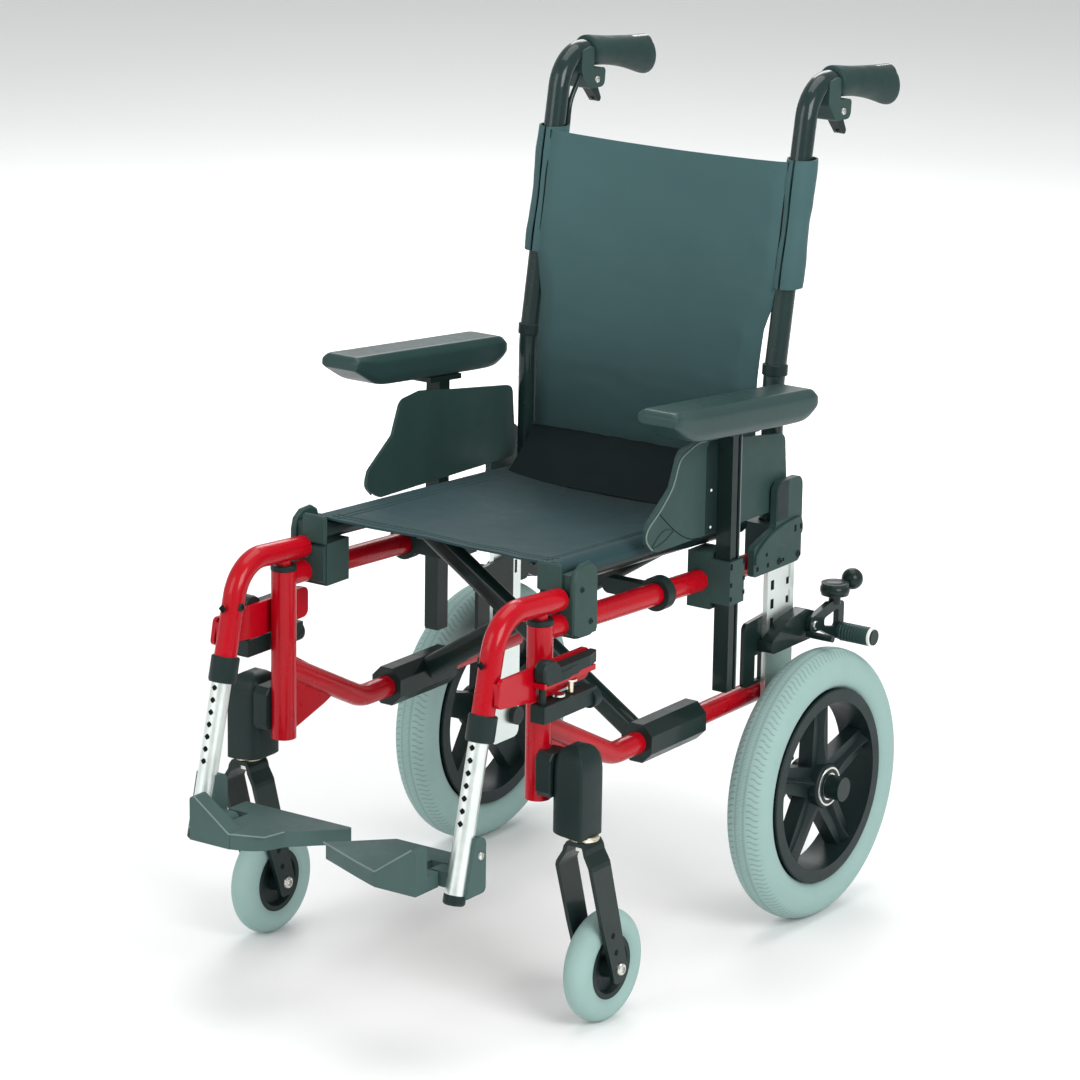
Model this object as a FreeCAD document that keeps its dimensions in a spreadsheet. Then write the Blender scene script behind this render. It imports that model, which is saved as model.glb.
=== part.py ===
import FreeCAD, Part

import math
import os
import re

import Sketcher
from FreeCAD import Vector

# Folding transit wheelchair, in millimetres and degrees.
# X is lateral (the user's left is +X), the chair faces -Y, Z is up and the floor is Z = 0.
# The origin lies on the floor in the middle of the chair's outline.
# Every Y station below is measured from the rear axle; axle_y moves them to the origin's frame.
# Left-hand pieces are modelled, and their right-hand twins are mirrored in the plane X = 0.

SIZES = {
    # outline
    "front_reach": 655,
    "rear_reach": 232,
    "running_gap": 0.05,
    "seat_gap": 0.1,
    "air_gap": 0.5,
    # how far a cutter runs past the piece it cuts, and how deep two joined blocks overlap
    "overrun": 1,
    # corner radii shared by the moulded and pressed pieces
    "flange_round": 1.5,
    "sharp_round": 2,
    "fine_round": 3,
    "edge_round": 4,
    "rim_round": 5,
    "small_round": 6,
    "corner_round": 8,
    "medium_round": 10,
    "soft_round": 12,
    "lever_round": 14,
    "wide_round": 16,
    "blade_round": 20,
    "broad_round": 30,
    "sweep_round": 40,
    "back_round": 60,
    "gusset_round": 90,
    # side frames
    "frame_x": 170.7,
    "tube_d": 25,
    "post_d": 28,
    "post_y": -465,
    "post_foot_z": 253,
    "post_top_z": 445,
    "lower_z": 265,
    "lower_tail_y": -22,
    "slope_top_z": 336,
    "slope_foot_y": -325,
    "slope_bend": 60,
    "upper_front_z": 438,
    "upper_tail_z": 417,
    "upper_tail_y": -30,
    "gusset_t": 6,
    "gusset_reach": 72,
    "gusset_drop": 60,
    "boss_d": 20,
    # rear uprights
    "upright_t": 6,
    "upright_out": 18.3,
    "upright_front": 46,
    "upright_rear": 10,
    "upright_foot_z": 130,
    "upright_top_z": 430,
    "upright_slot_w": 5,
    "upright_slot_z": 16,
    "upright_slot_pitch": 30,
    "upright_slot_count": 3,
    # rear brackets
    "bracket_z": 415,
    "bracket_top_z": 460,
    "cane_socket_wall": 5,
    "bracket_plate_t": 8,
    "bracket_plate_front": 90,
    "bracket_plate_rear": 10,
    "bracket_ear_top_z": 515,
    "bracket_ear_front": 45,
    "bracket_shoulder": 4,
    "bracket_nose_drop": 10,
    # seat blocks and arm receivers
    "block_inner_in": 28.7,
    "block_outer_out": 17.3,
    "block_wall_in": 0.7,
    "front_block_y": -405,
    "front_block_len": 40,
    "front_block_z": 422,
    "front_block_top_z": 490,
    "rear_block_inner_in": 14.7,
    "rear_block_y": -140,
    "rear_block_len": 36,
    "rear_block_z": 392,
    "receiver_z": 400,
    "receiver_top_z": 450,
    "receiver_wall": 4,
    "slide_gap": 0.6,
    # cross braces, seat rails and slings
    "rail_in": 15.7,
    "rail_z": 475,
    "rail_drop": 19.4,
    "rail_front_y": -424,
    "rail_rear_y": -55,
    "brace_a_y": -262,
    "brace_b_y": -212,
    "brace_h": 26,
    "brace_w": 20,
    "sleeve_front_y": -276,
    "sleeve_rear_y": -166,
    "sleeve_w": 40,
    "sleeve_h": 44,
    "sleeve_chamfer": 12,
    "pivot_d": 10,
    "pivot_head_d": 22,
    "pivot_head_t": 6,
    "sling_t": 5,
    "sling_in": 4.7,
    "back_out": 5.3,
    "back_foot_z": 474,
    "back_top_z": 868,
    # spreader links
    "link_y": -239.5,
    "link_w": 15,
    "link_len": 60,
    "link_d": 38,
    "link_gap": 0.8,
    "link_tip_d": 18,
    # back canes and push grips
    "cane_in": 3.7,
    "cane_y": -6,
    "cane_foot_z": 424,
    "cane_bend_z": 620,
    "cane_bend_r": 150,
    "cane_top_y": 54,
    "cane_top_z": 950,
    "cane_top_r": 45,
    "cane_end_z": 938,
    "grip_start_y": 100,
    "grip_d": 35,
    "grip_end_t": 9,
    "grip_drop_z": 908,
    "grip_drop_w": 28,
    "grip_sleeve_end": 3,
    "grip_hook_len": 52,
    "grip_hook_foot": 22,
    "grip_hook_belly": 12,
    # hand brakes
    "mount_front_y": 72,
    "mount_rear_y": 98,
    "mount_w": 28,
    "mount_foot_z": 903,
    "hand_pivot_y": 104,
    "hand_pivot_z": 913,
    "hand_pivot_d": 6,
    "hand_lever_w": 12,
    "hand_lever_head_d": 15,
    "hand_lever_tip_y": 127,
    "hand_lever_tip_z": 884,
    # rear wheels
    "wheel_out": 60.3,
    "wheel_r": 157.5,
    "tyre_d": 51,
    "rim_r": 110,
    "rim_flange": 3,
    "rim_wall": 12,
    "rim_w": 44,
    "rim_lip_t": 4,
    "spoke_overlap": 3,
    "hub_d": 52,
    "hub_w": 44,
    "spoke_count": 5,
    "spoke_root_w": 36,
    "spoke_tip_w": 27,
    "spoke_t": 18,
    "axle_d": 12,
    "axle_nut_d": 22,
    "axle_nut_t": 7,
    "axle_cap_d": 28,
    "axle_end_out": 102.3,
    # castors
    "castor_out": 55.3,
    "castor_stem_y": -458,
    "castor_trail": 40,
    "castor_r": 62.5,
    "castor_tyre_d": 31.6,
    "castor_rim_r": 36,
    "castor_rim_w": 24,
    "castor_hub_w": 28,
    "castor_hub_d": 22,
    "castor_web_t": 10,
    "castor_axle_d": 8,
    "castor_head_d": 14,
    "castor_head_t": 4,
    "castor_lip": 6,
    "castor_web_edge": 9,
    "fork_gap": 3.2,
    "fork_t": 5,
    "fork_w": 34,
    "fork_crown_z": 196,
    "fork_crown_top_z": 217,
    "fork_foot": 15,
    "stem_d": 12,
    "stem_top_z": 298,
    "washer_d": 34,
    "housing_z": 223,
    "housing_shoulder_z": 308,
    "housing_top_z": 320,
    "housing_barrel_out": 25.3,
    "housing_outer_out": 67.3,
    "housing_front_y": -482,
    "housing_rear_y": -434,
    "housing_round": 12,
    "housing_dome": 7,
    "web_out": 7.3,
    "web_z": 262,
    "web_top_z": 311,
    "web_w": 38,
    # swing-away hangers
    "hanger_rear_y": -431,
    "hanger_bend_y": -542,
    "hanger_rise": 8,
    "hanger_bend_r": 46,
    "leg_end_y": -568,
    "leg_end_z": 367,
    "leg_slope": 0.25,
    "swing_pin_d": 16,
    "swing_pin_len": 65,
    "wing_t": 5,
    "wing_gap": 0.8,
    "wing_z": 372,
    "wing_top_z": 410,
    "wing_rear_y": -402,
    "shelf_t": 6,
    "latch_pin_y": -497,
    "latch_pin_d": 8,
    "latch_tip_r": 6,
    "latch_out": 26.3,
    "latch_w": 18,
    "latch_rear_y": -400,
    "latch_foot_z": 351,
    "latch_foot_top_z": 370,
    "latch_top_z": 395,
    "latch_top_t": 12,
    # leg extensions and footplates
    "extension_d": 22,
    "extension_foot_z": 178,
    "extension_top_z": 395,
    "extension_travel": 35,
    "hole_d": 6,
    "hole_count": 10,
    "hole_pitch": 13,
    "hole_first_z": 262,
    "clamp_z": 184,
    "clamp_top_z": 246,
    "clamp_inner_in": 12.7,
    "clamp_outer_out": 15.3,
    "clamp_rear_y": -580,
    "plate_hinge_in": 30.7,
    "plate_z": 191,
    "plate_t": 17,
    "plate_rear_y": -558,
    "plate_outer_in": 20.7,
    "plate_tip_front_x": -1,
    "plate_tip_front_y": -614,
    "plate_tip_rear_x": 54,
    "plate_gap_x": 53,
    "plate_round": 4,
    "plate_nose_x": 64,
    "plate_nose_y": -642,
    "lug_w": 20,
    "lug_y": -602,
    "lug_gap": 3,
    "lug_d": 17,
    "lug_clear": 9,
    "lug_pin_reach": 14,
    "wall_t": 20,
    "wall_foot_in": 74.7,
    "wall_top_z": 245,
    # arm rests
    "arm_out": 27.3,
    "arm_y": -143,
    "arm_w": 18,
    "arm_depth": 20,
    "arm_foot_z": 298,
    "groove_w": 4,
    "groove_depth": 3,
    "guard_t": 4,
    "guard_foot_z": 475,
    "guard_boss_d": 10,
    "guard_boss_rise": 14,
    "guard_boss_pitch": 42,
    "guard_rear_y": -5,
    "pad_inner_out": 14.3,
    "pad_outer_out": 67.3,
    "pad_rear_y": -20,
    "pad_front_y": -315,
    "pad_under_z": 600,
    "pad_rise": 0.089,
    "pad_t": 37,
    "saddle_len": 60,
    "saddle_t": 6,
    "saddle_w": 30,
    # parking brakes
    "brake_plate_t": 5,
    "brake_plate_front": 83,
    "brake_plate_rear": 12,
    "brake_plate_z": 281,
    "brake_plate_top_z": 362,
    "brake_slot_y": -53,
    "brake_slot_z": 300,
    "brake_slot_w": 13,
    "brake_slot_len": 30,
    "brake_block_w": 15,
    "brake_block_z": 319,
    "brake_pivot_y": 22,
    "brake_pivot_z": 337,
    "brake_pivot_d": 8,
    "brake_lever_t": 7,
    "brake_knob_y": 70,
    "brake_knob_z": 366,
    "brake_knob_d": 32,
    "brake_knob_t": 14,
    "brake_stalk_d": 14,
    "brake_stalk_len": 12,
    "brake_rod_d": 5,
    "brake_grip_y": 78,
    "brake_grip_z": 317,
    "brake_grip_d": 18,
    "brake_grip_len": 50,
    "brake_ball_y": 98,
    "brake_ball_z": 375,
    "brake_ball_d": 25,
    "brake_shoe_y": 12,
    "brake_shoe_z": 328,
    "brake_shoe_d": 8,
    "brake_shoe_len": 34,
}

DERIVED = {
    "upright_x": "frame_x + upright_out",
    "block_inner_x": "frame_x - block_inner_in",
    "block_outer_x": "frame_x + block_outer_out",
    "block_wall_x": "frame_x - block_wall_in",
    "rear_block_inner_x": "frame_x - rear_block_inner_in",
    "rail_x": "frame_x - rail_in",
    "sling_x": "frame_x - sling_in",
    "back_x": "frame_x + back_out",
    "cane_x": "frame_x - cane_in",
    "wheel_x": "frame_x + wheel_out",
    "axle_end_x": "frame_x + axle_end_out",
    "castor_x": "frame_x + castor_out",
    "web_x": "frame_x + web_out",
    "housing_barrel_x": "frame_x + housing_barrel_out",
    "housing_outer_x": "frame_x + housing_outer_out",
    "latch_x": "frame_x + latch_out",
    "clamp_inner_x": "frame_x - clamp_inner_in",
    "clamp_outer_x": "frame_x + clamp_outer_out",
    "plate_hinge_x": "frame_x - plate_hinge_in",
    "plate_outer_x": "frame_x - plate_outer_in",
    "wall_foot_x": "frame_x - wall_foot_in",
    "arm_x": "frame_x + arm_out",
    "guard_x": "arm_x - arm_w / 2 - guard_t / 2",
    "pad_inner_x": "frame_x + pad_inner_out",
    "pad_outer_x": "frame_x + pad_outer_out",
    "axle_y": "(front_reach - rear_reach) / 2",
    "upright_inner_x": "upright_x - upright_t / 2",
    "upright_outer_x": "upright_x + upright_t / 2",
    "upper_fall": "(upper_front_z - upper_tail_z) / (upper_tail_y - post_y)",
    "link_z": "upper_front_z - upper_fall * (link_y - post_y)",
    "rail_fall": "rail_drop / (rail_rear_y - rail_front_y)",
    "rail_front_z": "rail_z + rail_fall * ((brace_a_y + brace_b_y) / 2 - rail_front_y)",
    "rail_rear_z": "rail_front_z - rail_drop",
    "brace_rise": "rail_z - lower_z",
    "brace_span": "frame_x + rail_x",
    "brace_angle": "atan2(brace_rise; brace_span)",
    "brace_len": "sqrt(brace_rise ^ 2 + brace_span ^ 2)",
    "pivot_z": "lower_z + brace_rise * frame_x / brace_span",
    "brace_gap": "brace_b_y - brace_a_y - brace_w",
    "cane_lean": "(cane_top_y - cane_y) / (cane_top_z - cane_bend_z)",
    "cane_end_y": "rear_reach - grip_end_t",
    "cane_fall": "(cane_top_z - cane_end_z) / (cane_end_y - cane_top_y)",
    "castor_y": "castor_stem_y + castor_trail",
    "fork_x": "castor_tyre_d / 2 + fork_gap + fork_t / 2",
    "hanger_rear_z": "upper_front_z + tube_d + 2 * air_gap",
    "hanger_bend_z": "hanger_rear_z + hanger_rise",
    "leg_angle": "atan(leg_slope)",
    "wing_x": "frame_x + post_d / 2 + wing_gap + wing_t / 2",
    "plate_mid_z": "plate_z + plate_t / 2",
    "arm_top_z": "pad_under_z",
    "brake_block_x": "upright_outer_x + brake_block_w / 2",
    "brake_lever_x": "upright_outer_x + brake_block_w + air_gap + brake_lever_t / 2",
}

document = FreeCAD.newDocument("wheelchair")
sheet = document.addObject("Spreadsheet::Sheet", "Sizes")
nodes = {}
for row, (alias, size) in enumerate(SIZES.items(), 1):
    sheet.set(f"A{row}", str(size))
    sheet.setAlias(f"A{row}", alias)
document.recompute()


def expand(text):
    """Write an expression in the sheet's own aliases, working out the derived names in it."""

    def swap(match):
        word = match.group(0)
        if word in DERIVED:
            return "(" + expand(DERIVED[word]) + ")"
        return "Sizes." + word if word in SIZES else word

    return re.sub(r"[a-z][a-z0-9_]*", swap, str(text))


def value(text):
    """The number that an expression gives now."""
    result = sheet.evalExpression(expand(text))
    return float(getattr(result, "Value", result))


def bind(target, **properties):
    """Tie properties of an object to expressions in the sheet's sizes."""
    for name, text in properties.items():
        target.setExpression(name, expand(text))
    return target


def place(target, x=0, y=0, z=0, axis=None, angle=0):
    """Tie an object's position to the sheet, with y measured from the rear axle."""
    if axis:
        target.Placement.Rotation = FreeCAD.Rotation(Vector(*axis), 1)
        target.setExpression("Placement.Rotation.Angle", expand(angle))
    target.setExpression("Placement.Base.x", expand(x))
    target.setExpression("Placement.Base.y", expand(f"axle_y + ({y})"))
    target.setExpression("Placement.Base.z", expand(z))
    return target


def box(name, x, y, z):
    """A block between two expressions along each axis."""
    block = document.addObject("Part::Box", name)
    bind(block, Length=f"({x[1]}) - ({x[0]})", Width=f"({y[1]}) - ({y[0]})")
    bind(block, Height=f"({z[1]}) - ({z[0]})")
    return place(block, x[0], y[0], z[0])


def rod(name, d, length, at, axis="z"):
    """A cylinder that starts at a point and runs along one axis."""
    turns = {"x": ((0, 1, 0), 90), "y": ((1, 0, 0), -90), "z": (None, 0)}
    cylinder = document.addObject("Part::Cylinder", name)
    bind(cylinder, Radius=f"({d}) / 2", Height=length)
    turn, angle = turns[axis]
    return place(cylinder, *at, axis=turn, angle=angle)


def join(name, *pieces):
    """One solid made of several."""
    fusion = document.addObject("Part::MultiFuse", name)
    fusion.Shapes = list(pieces)
    return fusion


def cut(name, base, *tools):
    """One solid with others taken out of it."""
    result = document.addObject("Part::Cut", name)
    result.Base = base
    result.Tool = tools[0] if len(tools) == 1 else join(name + "Tools", *tools)
    return result


def new_body(name, x=0, y=0, z=0):
    """A body whose own origin lies at a point of the chair."""
    return place(document.addObject("PartDesign::Body", name), x, y, z)


def drawn(body, plane, corners, closed=True):
    """Sketch straight runs through corners (u, v) or (u, v, radius) on one of the body's planes."""
    sketch = body.newObject("Sketcher::SketchObject", body.Name + "Outline")
    support = [f for f in body.Origin.OriginFeatures if f.Role == plane + "_Plane"]
    sketch.AttachmentSupport = [(support[0], "")]
    sketch.MapMode = "FlatFace"
    spots = [Vector(value(corner[0]), value(corner[1]), 0) for corner in corners]
    count = len(corners)
    ends = [[spot, spot] for spot in spots]
    rounds = {}
    for n, corner in enumerate(corners):
        if len(corner) < 3:
            continue
        before = (spots[n] - spots[n - 1]).normalize()
        after = (spots[(n + 1) % count] - spots[n]).normalize()
        radius = value(corner[2])
        trim = radius * math.tan(before.getAngle(after) / 2)
        ends[n] = [spots[n] - before * trim, spots[n] + after * trim]
        left = before.cross(after).z > 0
        middle = ends[n][0] + Vector(-before.y, before.x, 0) * (radius if left else -radius)
        rounds[n] = (middle, radius, left)
    lines = []
    for n in range(count if closed else count - 1):
        line = Part.LineSegment(ends[n][1], ends[(n + 1) % count][0])
        lines.append(sketch.addGeometry(line, False))

    def hold(kind, text, *targets):
        index = sketch.addConstraint(Sketcher.Constraint(kind, *targets, value(text)))
        sketch.setExpression(f"Constraints[{index}]", expand(text))

    def pin(corner, *point):
        hold("DistanceX", corner[0], -1, 1, *point)
        hold("DistanceY", corner[1], -1, 1, *point)

    def tie(kind, *targets):
        sketch.addConstraint(Sketcher.Constraint(kind, *targets))

    for n, corner in enumerate(corners):
        before = lines[n - 1] if closed or n else None
        after = lines[n] if n < len(lines) else None
        if n in rounds:
            middle, radius, left = rounds[n]
            turns = [end - middle for end in (ends[n] if left else ends[n][::-1])]
            angles = [math.atan2(turn.y, turn.x) for turn in turns]
            circle = Part.Circle(middle, Vector(0, 0, 1), radius)
            arc = sketch.addGeometry(Part.ArcOfCircle(circle, *angles), False)
            point = sketch.addGeometry(Part.Point(spots[n]), True)
            pin(corner, point, 1)
            tie("PointOnObject", point, 1, before)
            tie("PointOnObject", point, 1, after)
            tie("Tangent", before, 2, arc, 1 if left else 2)
            tie("Tangent", after, 1, arc, 2 if left else 1)
            hold("Radius", corner[2], arc)
        elif before is None:
            pin(corner, after, 1)
        elif after is None:
            pin(corner, before, 2)
        else:
            tie("Coincident", before, 2, after, 1)
            pin(corner, after, 1)
    return sketch


def plate(name, plane, corners, thickness, x=0, y=0, z=0):
    """A flat piece of even thickness, centred on its own plane."""
    body = new_body(name, x, y, z)
    pad = body.newObject("PartDesign::Pad", name + "Pad")
    pad.Profile = drawn(body, plane, corners)
    pad.SideType = "Symmetric"
    bind(pad, Length=thickness)
    return body


def pipe(name, corners, d, x):
    """A round bar bent along a path in a plane of constant X."""
    body = new_body(name, x)
    path = drawn(body, "YZ", corners, closed=False)
    document.recompute()
    section = body.newObject("Sketcher::SketchObject", name + "Section")
    section.AttachmentSupport = [(path, "Edge1")]
    section.MapMode = "NormalToEdge"
    section.MapPathParameter = 0
    circle = Part.Circle(Vector(), Vector(0, 0, 1), value(d) / 2)
    section.addGeometry(circle, False)
    section.addConstraint(Sketcher.Constraint("Coincident", 0, 3, -1, 1))
    section.addConstraint(Sketcher.Constraint("Diameter", 0, value(d)))
    section.setExpression("Constraints[1]", expand(d))
    sweep = body.newObject("PartDesign::AdditivePipe", name + "Sweep")
    sweep.Profile = section
    sweep.Spine = (path, [f"Edge{n + 1}" for n in range(len(path.Shape.Edges))])
    return body


def turned(name, profiles, x=0, y=0, z=0, axis="H_Axis"):
    """A body turned from profiles about its own X axis (H_Axis) or Z axis (V_Axis)."""
    body = new_body(name, x, y, z)
    for corners in profiles:
        turn = body.newObject("PartDesign::Revolution", name + "Turn")
        turn.Profile = drawn(body, "XZ", corners)
        turn.ReferenceAxis = (turn.Profile[0], [axis])
        turn.Angle = 360
    return body


def node(label, piece):
    """Keep a finished piece under its own name."""
    piece.Label = label
    nodes[label] = piece


def pair(label, piece):
    """Keep a left-hand piece and its mirrored right-hand twin."""
    twin = document.addObject("Part::Mirroring", piece.Name + "Twin")
    twin.Source = piece
    twin.Normal = Vector(1, 0, 0)
    node("left_" + label, piece)
    node("right_" + label, twin)


def side_frame():
    """The red side frame: front post, dropped lower tube, sloping upper tube and gusset."""
    post = rod("Post", "post_d", "post_top_z - post_foot_z", ("frame_x", "post_y", "post_foot_z"))
    run = [
        ("post_y", "slope_top_z"),
        ("slope_foot_y", "lower_z", "slope_bend"),
        ("lower_tail_y", "lower_z"),
    ]
    lower = pipe("LowerTube", run, "tube_d", "frame_x")
    start = "post_d / 4"
    top = [
        (f"post_y + {start}", f"upper_front_z - {start} * upper_fall"),
        ("upper_tail_y", "upper_tail_z"),
    ]
    upper = pipe("UpperTube", top, "tube_d", "frame_x")
    slope = "(slope_top_z - lower_z) / (slope_foot_y - post_y)"
    corners = [
        ("post_y", "post_foot_z + gusset_t"),
        ("post_y + post_d / 2", "post_foot_z + gusset_t"),
        ("post_y + gusset_reach", "slope_top_z - gusset_drop", "gusset_round"),
        ("post_y + gusset_reach + tube_d", f"slope_top_z - {slope} * (gusset_reach + tube_d)"),
        ("post_y", "slope_top_z"),
    ]
    gusset = plate("Gusset", "YZ", corners, "gusset_t", "frame_x")
    start = ("frame_x", "lower_tail_y - boss_d / 2", "lower_z")
    boss = rod("TailBoss", "boss_d", "upright_inner_x - frame_x", start, "x")
    pin_d = "swing_pin_d + 2 * running_gap"
    low = "post_top_z - swing_pin_len"
    bore = rod("PinBore", pin_d, "swing_pin_len + tube_d / 2", ("frame_x", "post_y", low))
    return cut("SideFrame", join("FrameTubes", post, lower, upper, gusset, boss), bore)


def rear_upright():
    """The aluminium plate that carries the rear axle, with its adjusting slots."""
    corners = [
        ("-upright_front", "upright_foot_z", "medium_round"),
        ("upright_rear", "upright_foot_z", "medium_round"),
        ("upright_rear", "upright_top_z", "fine_round"),
        ("-upright_front", "upright_top_z", "fine_round"),
    ]
    blank = plate("UprightBlank", "YZ", corners, "upright_t", "upright_x")
    thick = ("upright_inner_x - air_gap", "upright_outer_x + air_gap")
    cuts = [
        rod("AxleHole", "axle_d + 2 * seat_gap", "upright_t * 2", (thick[0], 0, "wheel_r"), "x")
    ]
    for n in range(SIZES["upright_slot_count"]):
        top = f"bracket_z - upright_slot_w - {n} * upright_slot_pitch"
        depth = ("-upright_slot_w / 2", "upright_slot_w / 2")
        cuts.append(box("UprightSlot", thick, depth, (f"{top} - upright_slot_z", top)))
    return cut("RearUpright", blank, *cuts)


def rear_bracket():
    """The black socket that joins the upright, the upper tube and the back cane."""
    reach = "(tube_d / 2 + cane_socket_wall)"
    deep = ("upper_tail_y + 2 * air_gap", f"cane_y + {reach}")
    socket = box(
        "CaneSocket", (f"cane_x - {reach}", "upright_inner_x"), deep, ("bracket_z", "bracket_top_z")
    )
    bridge = box(
        "CaneBridge",
        ("upright_inner_x - overrun", "upright_outer_x + overrun"),
        deep,
        ("upright_top_z + air_gap", "bracket_top_z"),
    )
    corners = [
        ("-bracket_plate_front", "bracket_z", "edge_round"),
        ("bracket_plate_rear", "bracket_z", "medium_round"),
        ("bracket_plate_rear", "bracket_ear_top_z", "soft_round"),
        ("-bracket_ear_front", "bracket_ear_top_z", "soft_round"),
        ("-bracket_ear_front", "bracket_top_z + bracket_shoulder", "edge_round"),
        ("-bracket_plate_front", "bracket_top_z - bracket_nose_drop", "corner_round"),
    ]
    outer_x = "upright_outer_x + bracket_plate_t / 2"
    outer = plate("BracketPlate", "YZ", corners, "bracket_plate_t", outer_x)
    hole_d = "tube_d + 2 * seat_gap"
    foot = ("cane_x", "cane_y", "cane_foot_z")
    bore = rod("CaneBore", hole_d, "bracket_top_z - cane_foot_z + overrun", foot)
    return cut("RearBracket", join("BracketBlocks", socket, bridge, outer), bore)


def upper_tube_hole(name):
    """The hole that a block on the upper tube needs."""
    run = [("post_y", "upper_front_z"), ("upper_tail_y + overrun", "upper_tail_z - upper_fall")]
    return pipe(name, run, "tube_d + 2 * seat_gap", "frame_x")


def rail_floor(station):
    """The height just under the seat rail at a station."""
    return f"rail_front_z - rail_fall * ({station} - rail_front_y) - tube_d / 2 - air_gap"


def front_seat_block():
    """The black saddle on the upper tube that the front of the seat rail drops into."""
    y = ("front_block_y - front_block_len / 2", "front_block_y + front_block_len / 2")
    floor = rail_floor("front_block_y + front_block_len / 2")
    saddle = box("FrontSaddle", ("block_inner_x", "block_outer_x"), y, ("front_block_z", floor))
    wall = box(
        "FrontWall", ("block_wall_x", "block_outer_x"), y, ("front_block_z", "front_block_top_z")
    )
    return cut("FrontSeatBlock", join("FrontBlock", saddle, wall), upper_tube_hole("FrontBlockHole"))


def rear_seat_block():
    """The rear saddle on the upper tube, with the sleeve that the arm post slides in."""
    y = ("rear_block_y - rear_block_len / 2", "rear_block_y + rear_block_len / 2")
    floor = rail_floor("rear_block_y + rear_block_len / 2")
    x = ("rear_block_inner_x", "upright_inner_x")
    saddle = box("RearSaddle", x, y, ("rear_block_z", floor))
    around = "(receiver_wall + slide_gap)"
    sleeve = box(
        "ReceiverSleeve",
        ("upright_inner_x - overrun", f"arm_x + arm_w / 2 + {around}"),
        (f"arm_y - arm_depth / 2 - {around}", f"arm_y + arm_depth / 2 + {around}"),
        ("receiver_z", "receiver_top_z"),
    )
    slot = box(
        "ReceiverSlot",
        ("arm_x - arm_w / 2 - slide_gap", "arm_x + arm_w / 2 + slide_gap"),
        ("arm_y - arm_depth / 2 - slide_gap", "arm_y + arm_depth / 2 + slide_gap"),
        ("receiver_z - overrun", "receiver_top_z + overrun"),
    )
    blocks = join("RearBlock", saddle, sleeve)
    return cut("RearSeatBlock", blocks, upper_tube_hole("RearBlockHole"), slot)


def cane_run():
    """The back cane's path from its socket to the end of the push handle."""
    return [
        ("cane_y", "cane_foot_z"),
        ("cane_y", "cane_bend_z", "cane_bend_r"),
        ("cane_top_y", "cane_top_z", "cane_top_r"),
        ("cane_end_y", "cane_end_z"),
    ]


def handle_run(start, end):
    """A straight path along the push handle between two stations."""
    drop = "cane_top_z - cane_fall * ({0} - cane_top_y)"
    return [(f"({s})", drop.format(f"({s})")) for s in (start, end)]


def push_grip():
    """The rubber grip on the handle, with its hooked rear end."""
    run = handle_run("grip_start_y", "rear_reach - grip_sleeve_end")
    sleeve = pipe("GripSleeve", run, "grip_d", "cane_x")
    corners = [
        ("rear_reach - grip_hook_len", "cane_end_z - grip_d / 2 + grip_hook_belly", "broad_round"),
        ("rear_reach - grip_hook_foot", "grip_drop_z", "medium_round"),
        ("rear_reach", "grip_drop_z + corner_round", "wide_round"),
        ("rear_reach", "cane_end_z + grip_d / 2 - sharp_round", "soft_round"),
        ("rear_reach - grip_hook_len", "cane_end_z + grip_d / 2", "edge_round"),
    ]
    hook = plate("GripHook", "YZ", corners, "grip_drop_w", "cane_x")
    hole = pipe(
        "GripBore", handle_run("grip_start_y - overrun", "cane_end_y"), "tube_d + 2 * seat_gap", "cane_x"
    )
    return cut("PushGrip", join("GripOuter", sleeve, hook), hole)


def brake_lever_mount():
    """The housing of the attendant's brake, clamped round the handle in front of the grip."""
    corners = [
        ("mount_front_y + 2", "cane_top_z", "corner_round"),
        ("mount_front_y", "mount_foot_z + 22", "medium_round"),
        ("hand_pivot_y - 14", "mount_foot_z", "corner_round"),
        ("hand_pivot_y + 16", "mount_foot_z", "corner_round"),
        ("hand_pivot_y + 18", "mount_foot_z + 22", "rim_round"),
        ("mount_rear_y", "mount_foot_z + 24"),
        ("mount_rear_y", "cane_top_z + 4", "small_round"),
    ]
    block = plate("MountBlock", "YZ", corners, "mount_w", "cane_x")
    tube = pipe("MountBore", cane_run(), "tube_d + 2 * seat_gap", "cane_x")
    half = "(hand_lever_w / 2 + air_gap)"
    mouth = box(
        "MountMouth",
        (f"cane_x - {half}", f"cane_x + {half}"),
        ("hand_pivot_y - 9", "hand_pivot_y + 30"),
        ("mount_foot_z - 5", "mount_foot_z + 21"),
    )
    start = ("cane_x - mount_w / 2", "hand_pivot_y", "hand_pivot_z")
    pin = rod("HandPin", "hand_pivot_d", "mount_w", start, "x")
    return join("BrakeLeverMount", cut("MountShell", block, tube, mouth), pin)


def hand_brake_lever():
    """The short hand lever on its cross pin."""
    corners = [
        ("hand_pivot_y - 5", "hand_pivot_z + 5", "edge_round"),
        ("hand_pivot_y - 5", "hand_pivot_z - 7", "small_round"),
        ("hand_lever_tip_y - 8", "hand_lever_tip_z", "edge_round"),
        ("hand_lever_tip_y", "hand_lever_tip_z", "edge_round"),
        ("hand_pivot_y + 7", "hand_pivot_z + 2", "small_round"),
    ]
    blade = plate("HandBlade", "YZ", corners, "hand_lever_w", "cane_x")
    start = ("cane_x - hand_lever_w / 2 - overrun", "hand_pivot_y", "hand_pivot_z")
    side = ("cane_x - hand_lever_w / 2", *start[1:])
    head = rod("HandHead", "hand_lever_head_d", "hand_lever_w", side, "x")
    hole = rod("HandHole", "hand_pivot_d + 2 * running_gap", "hand_lever_w + 2 * overrun", start, "x")
    return cut("HandBrakeLever", join("HandLeverOuter", blade, head), hole)


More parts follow.
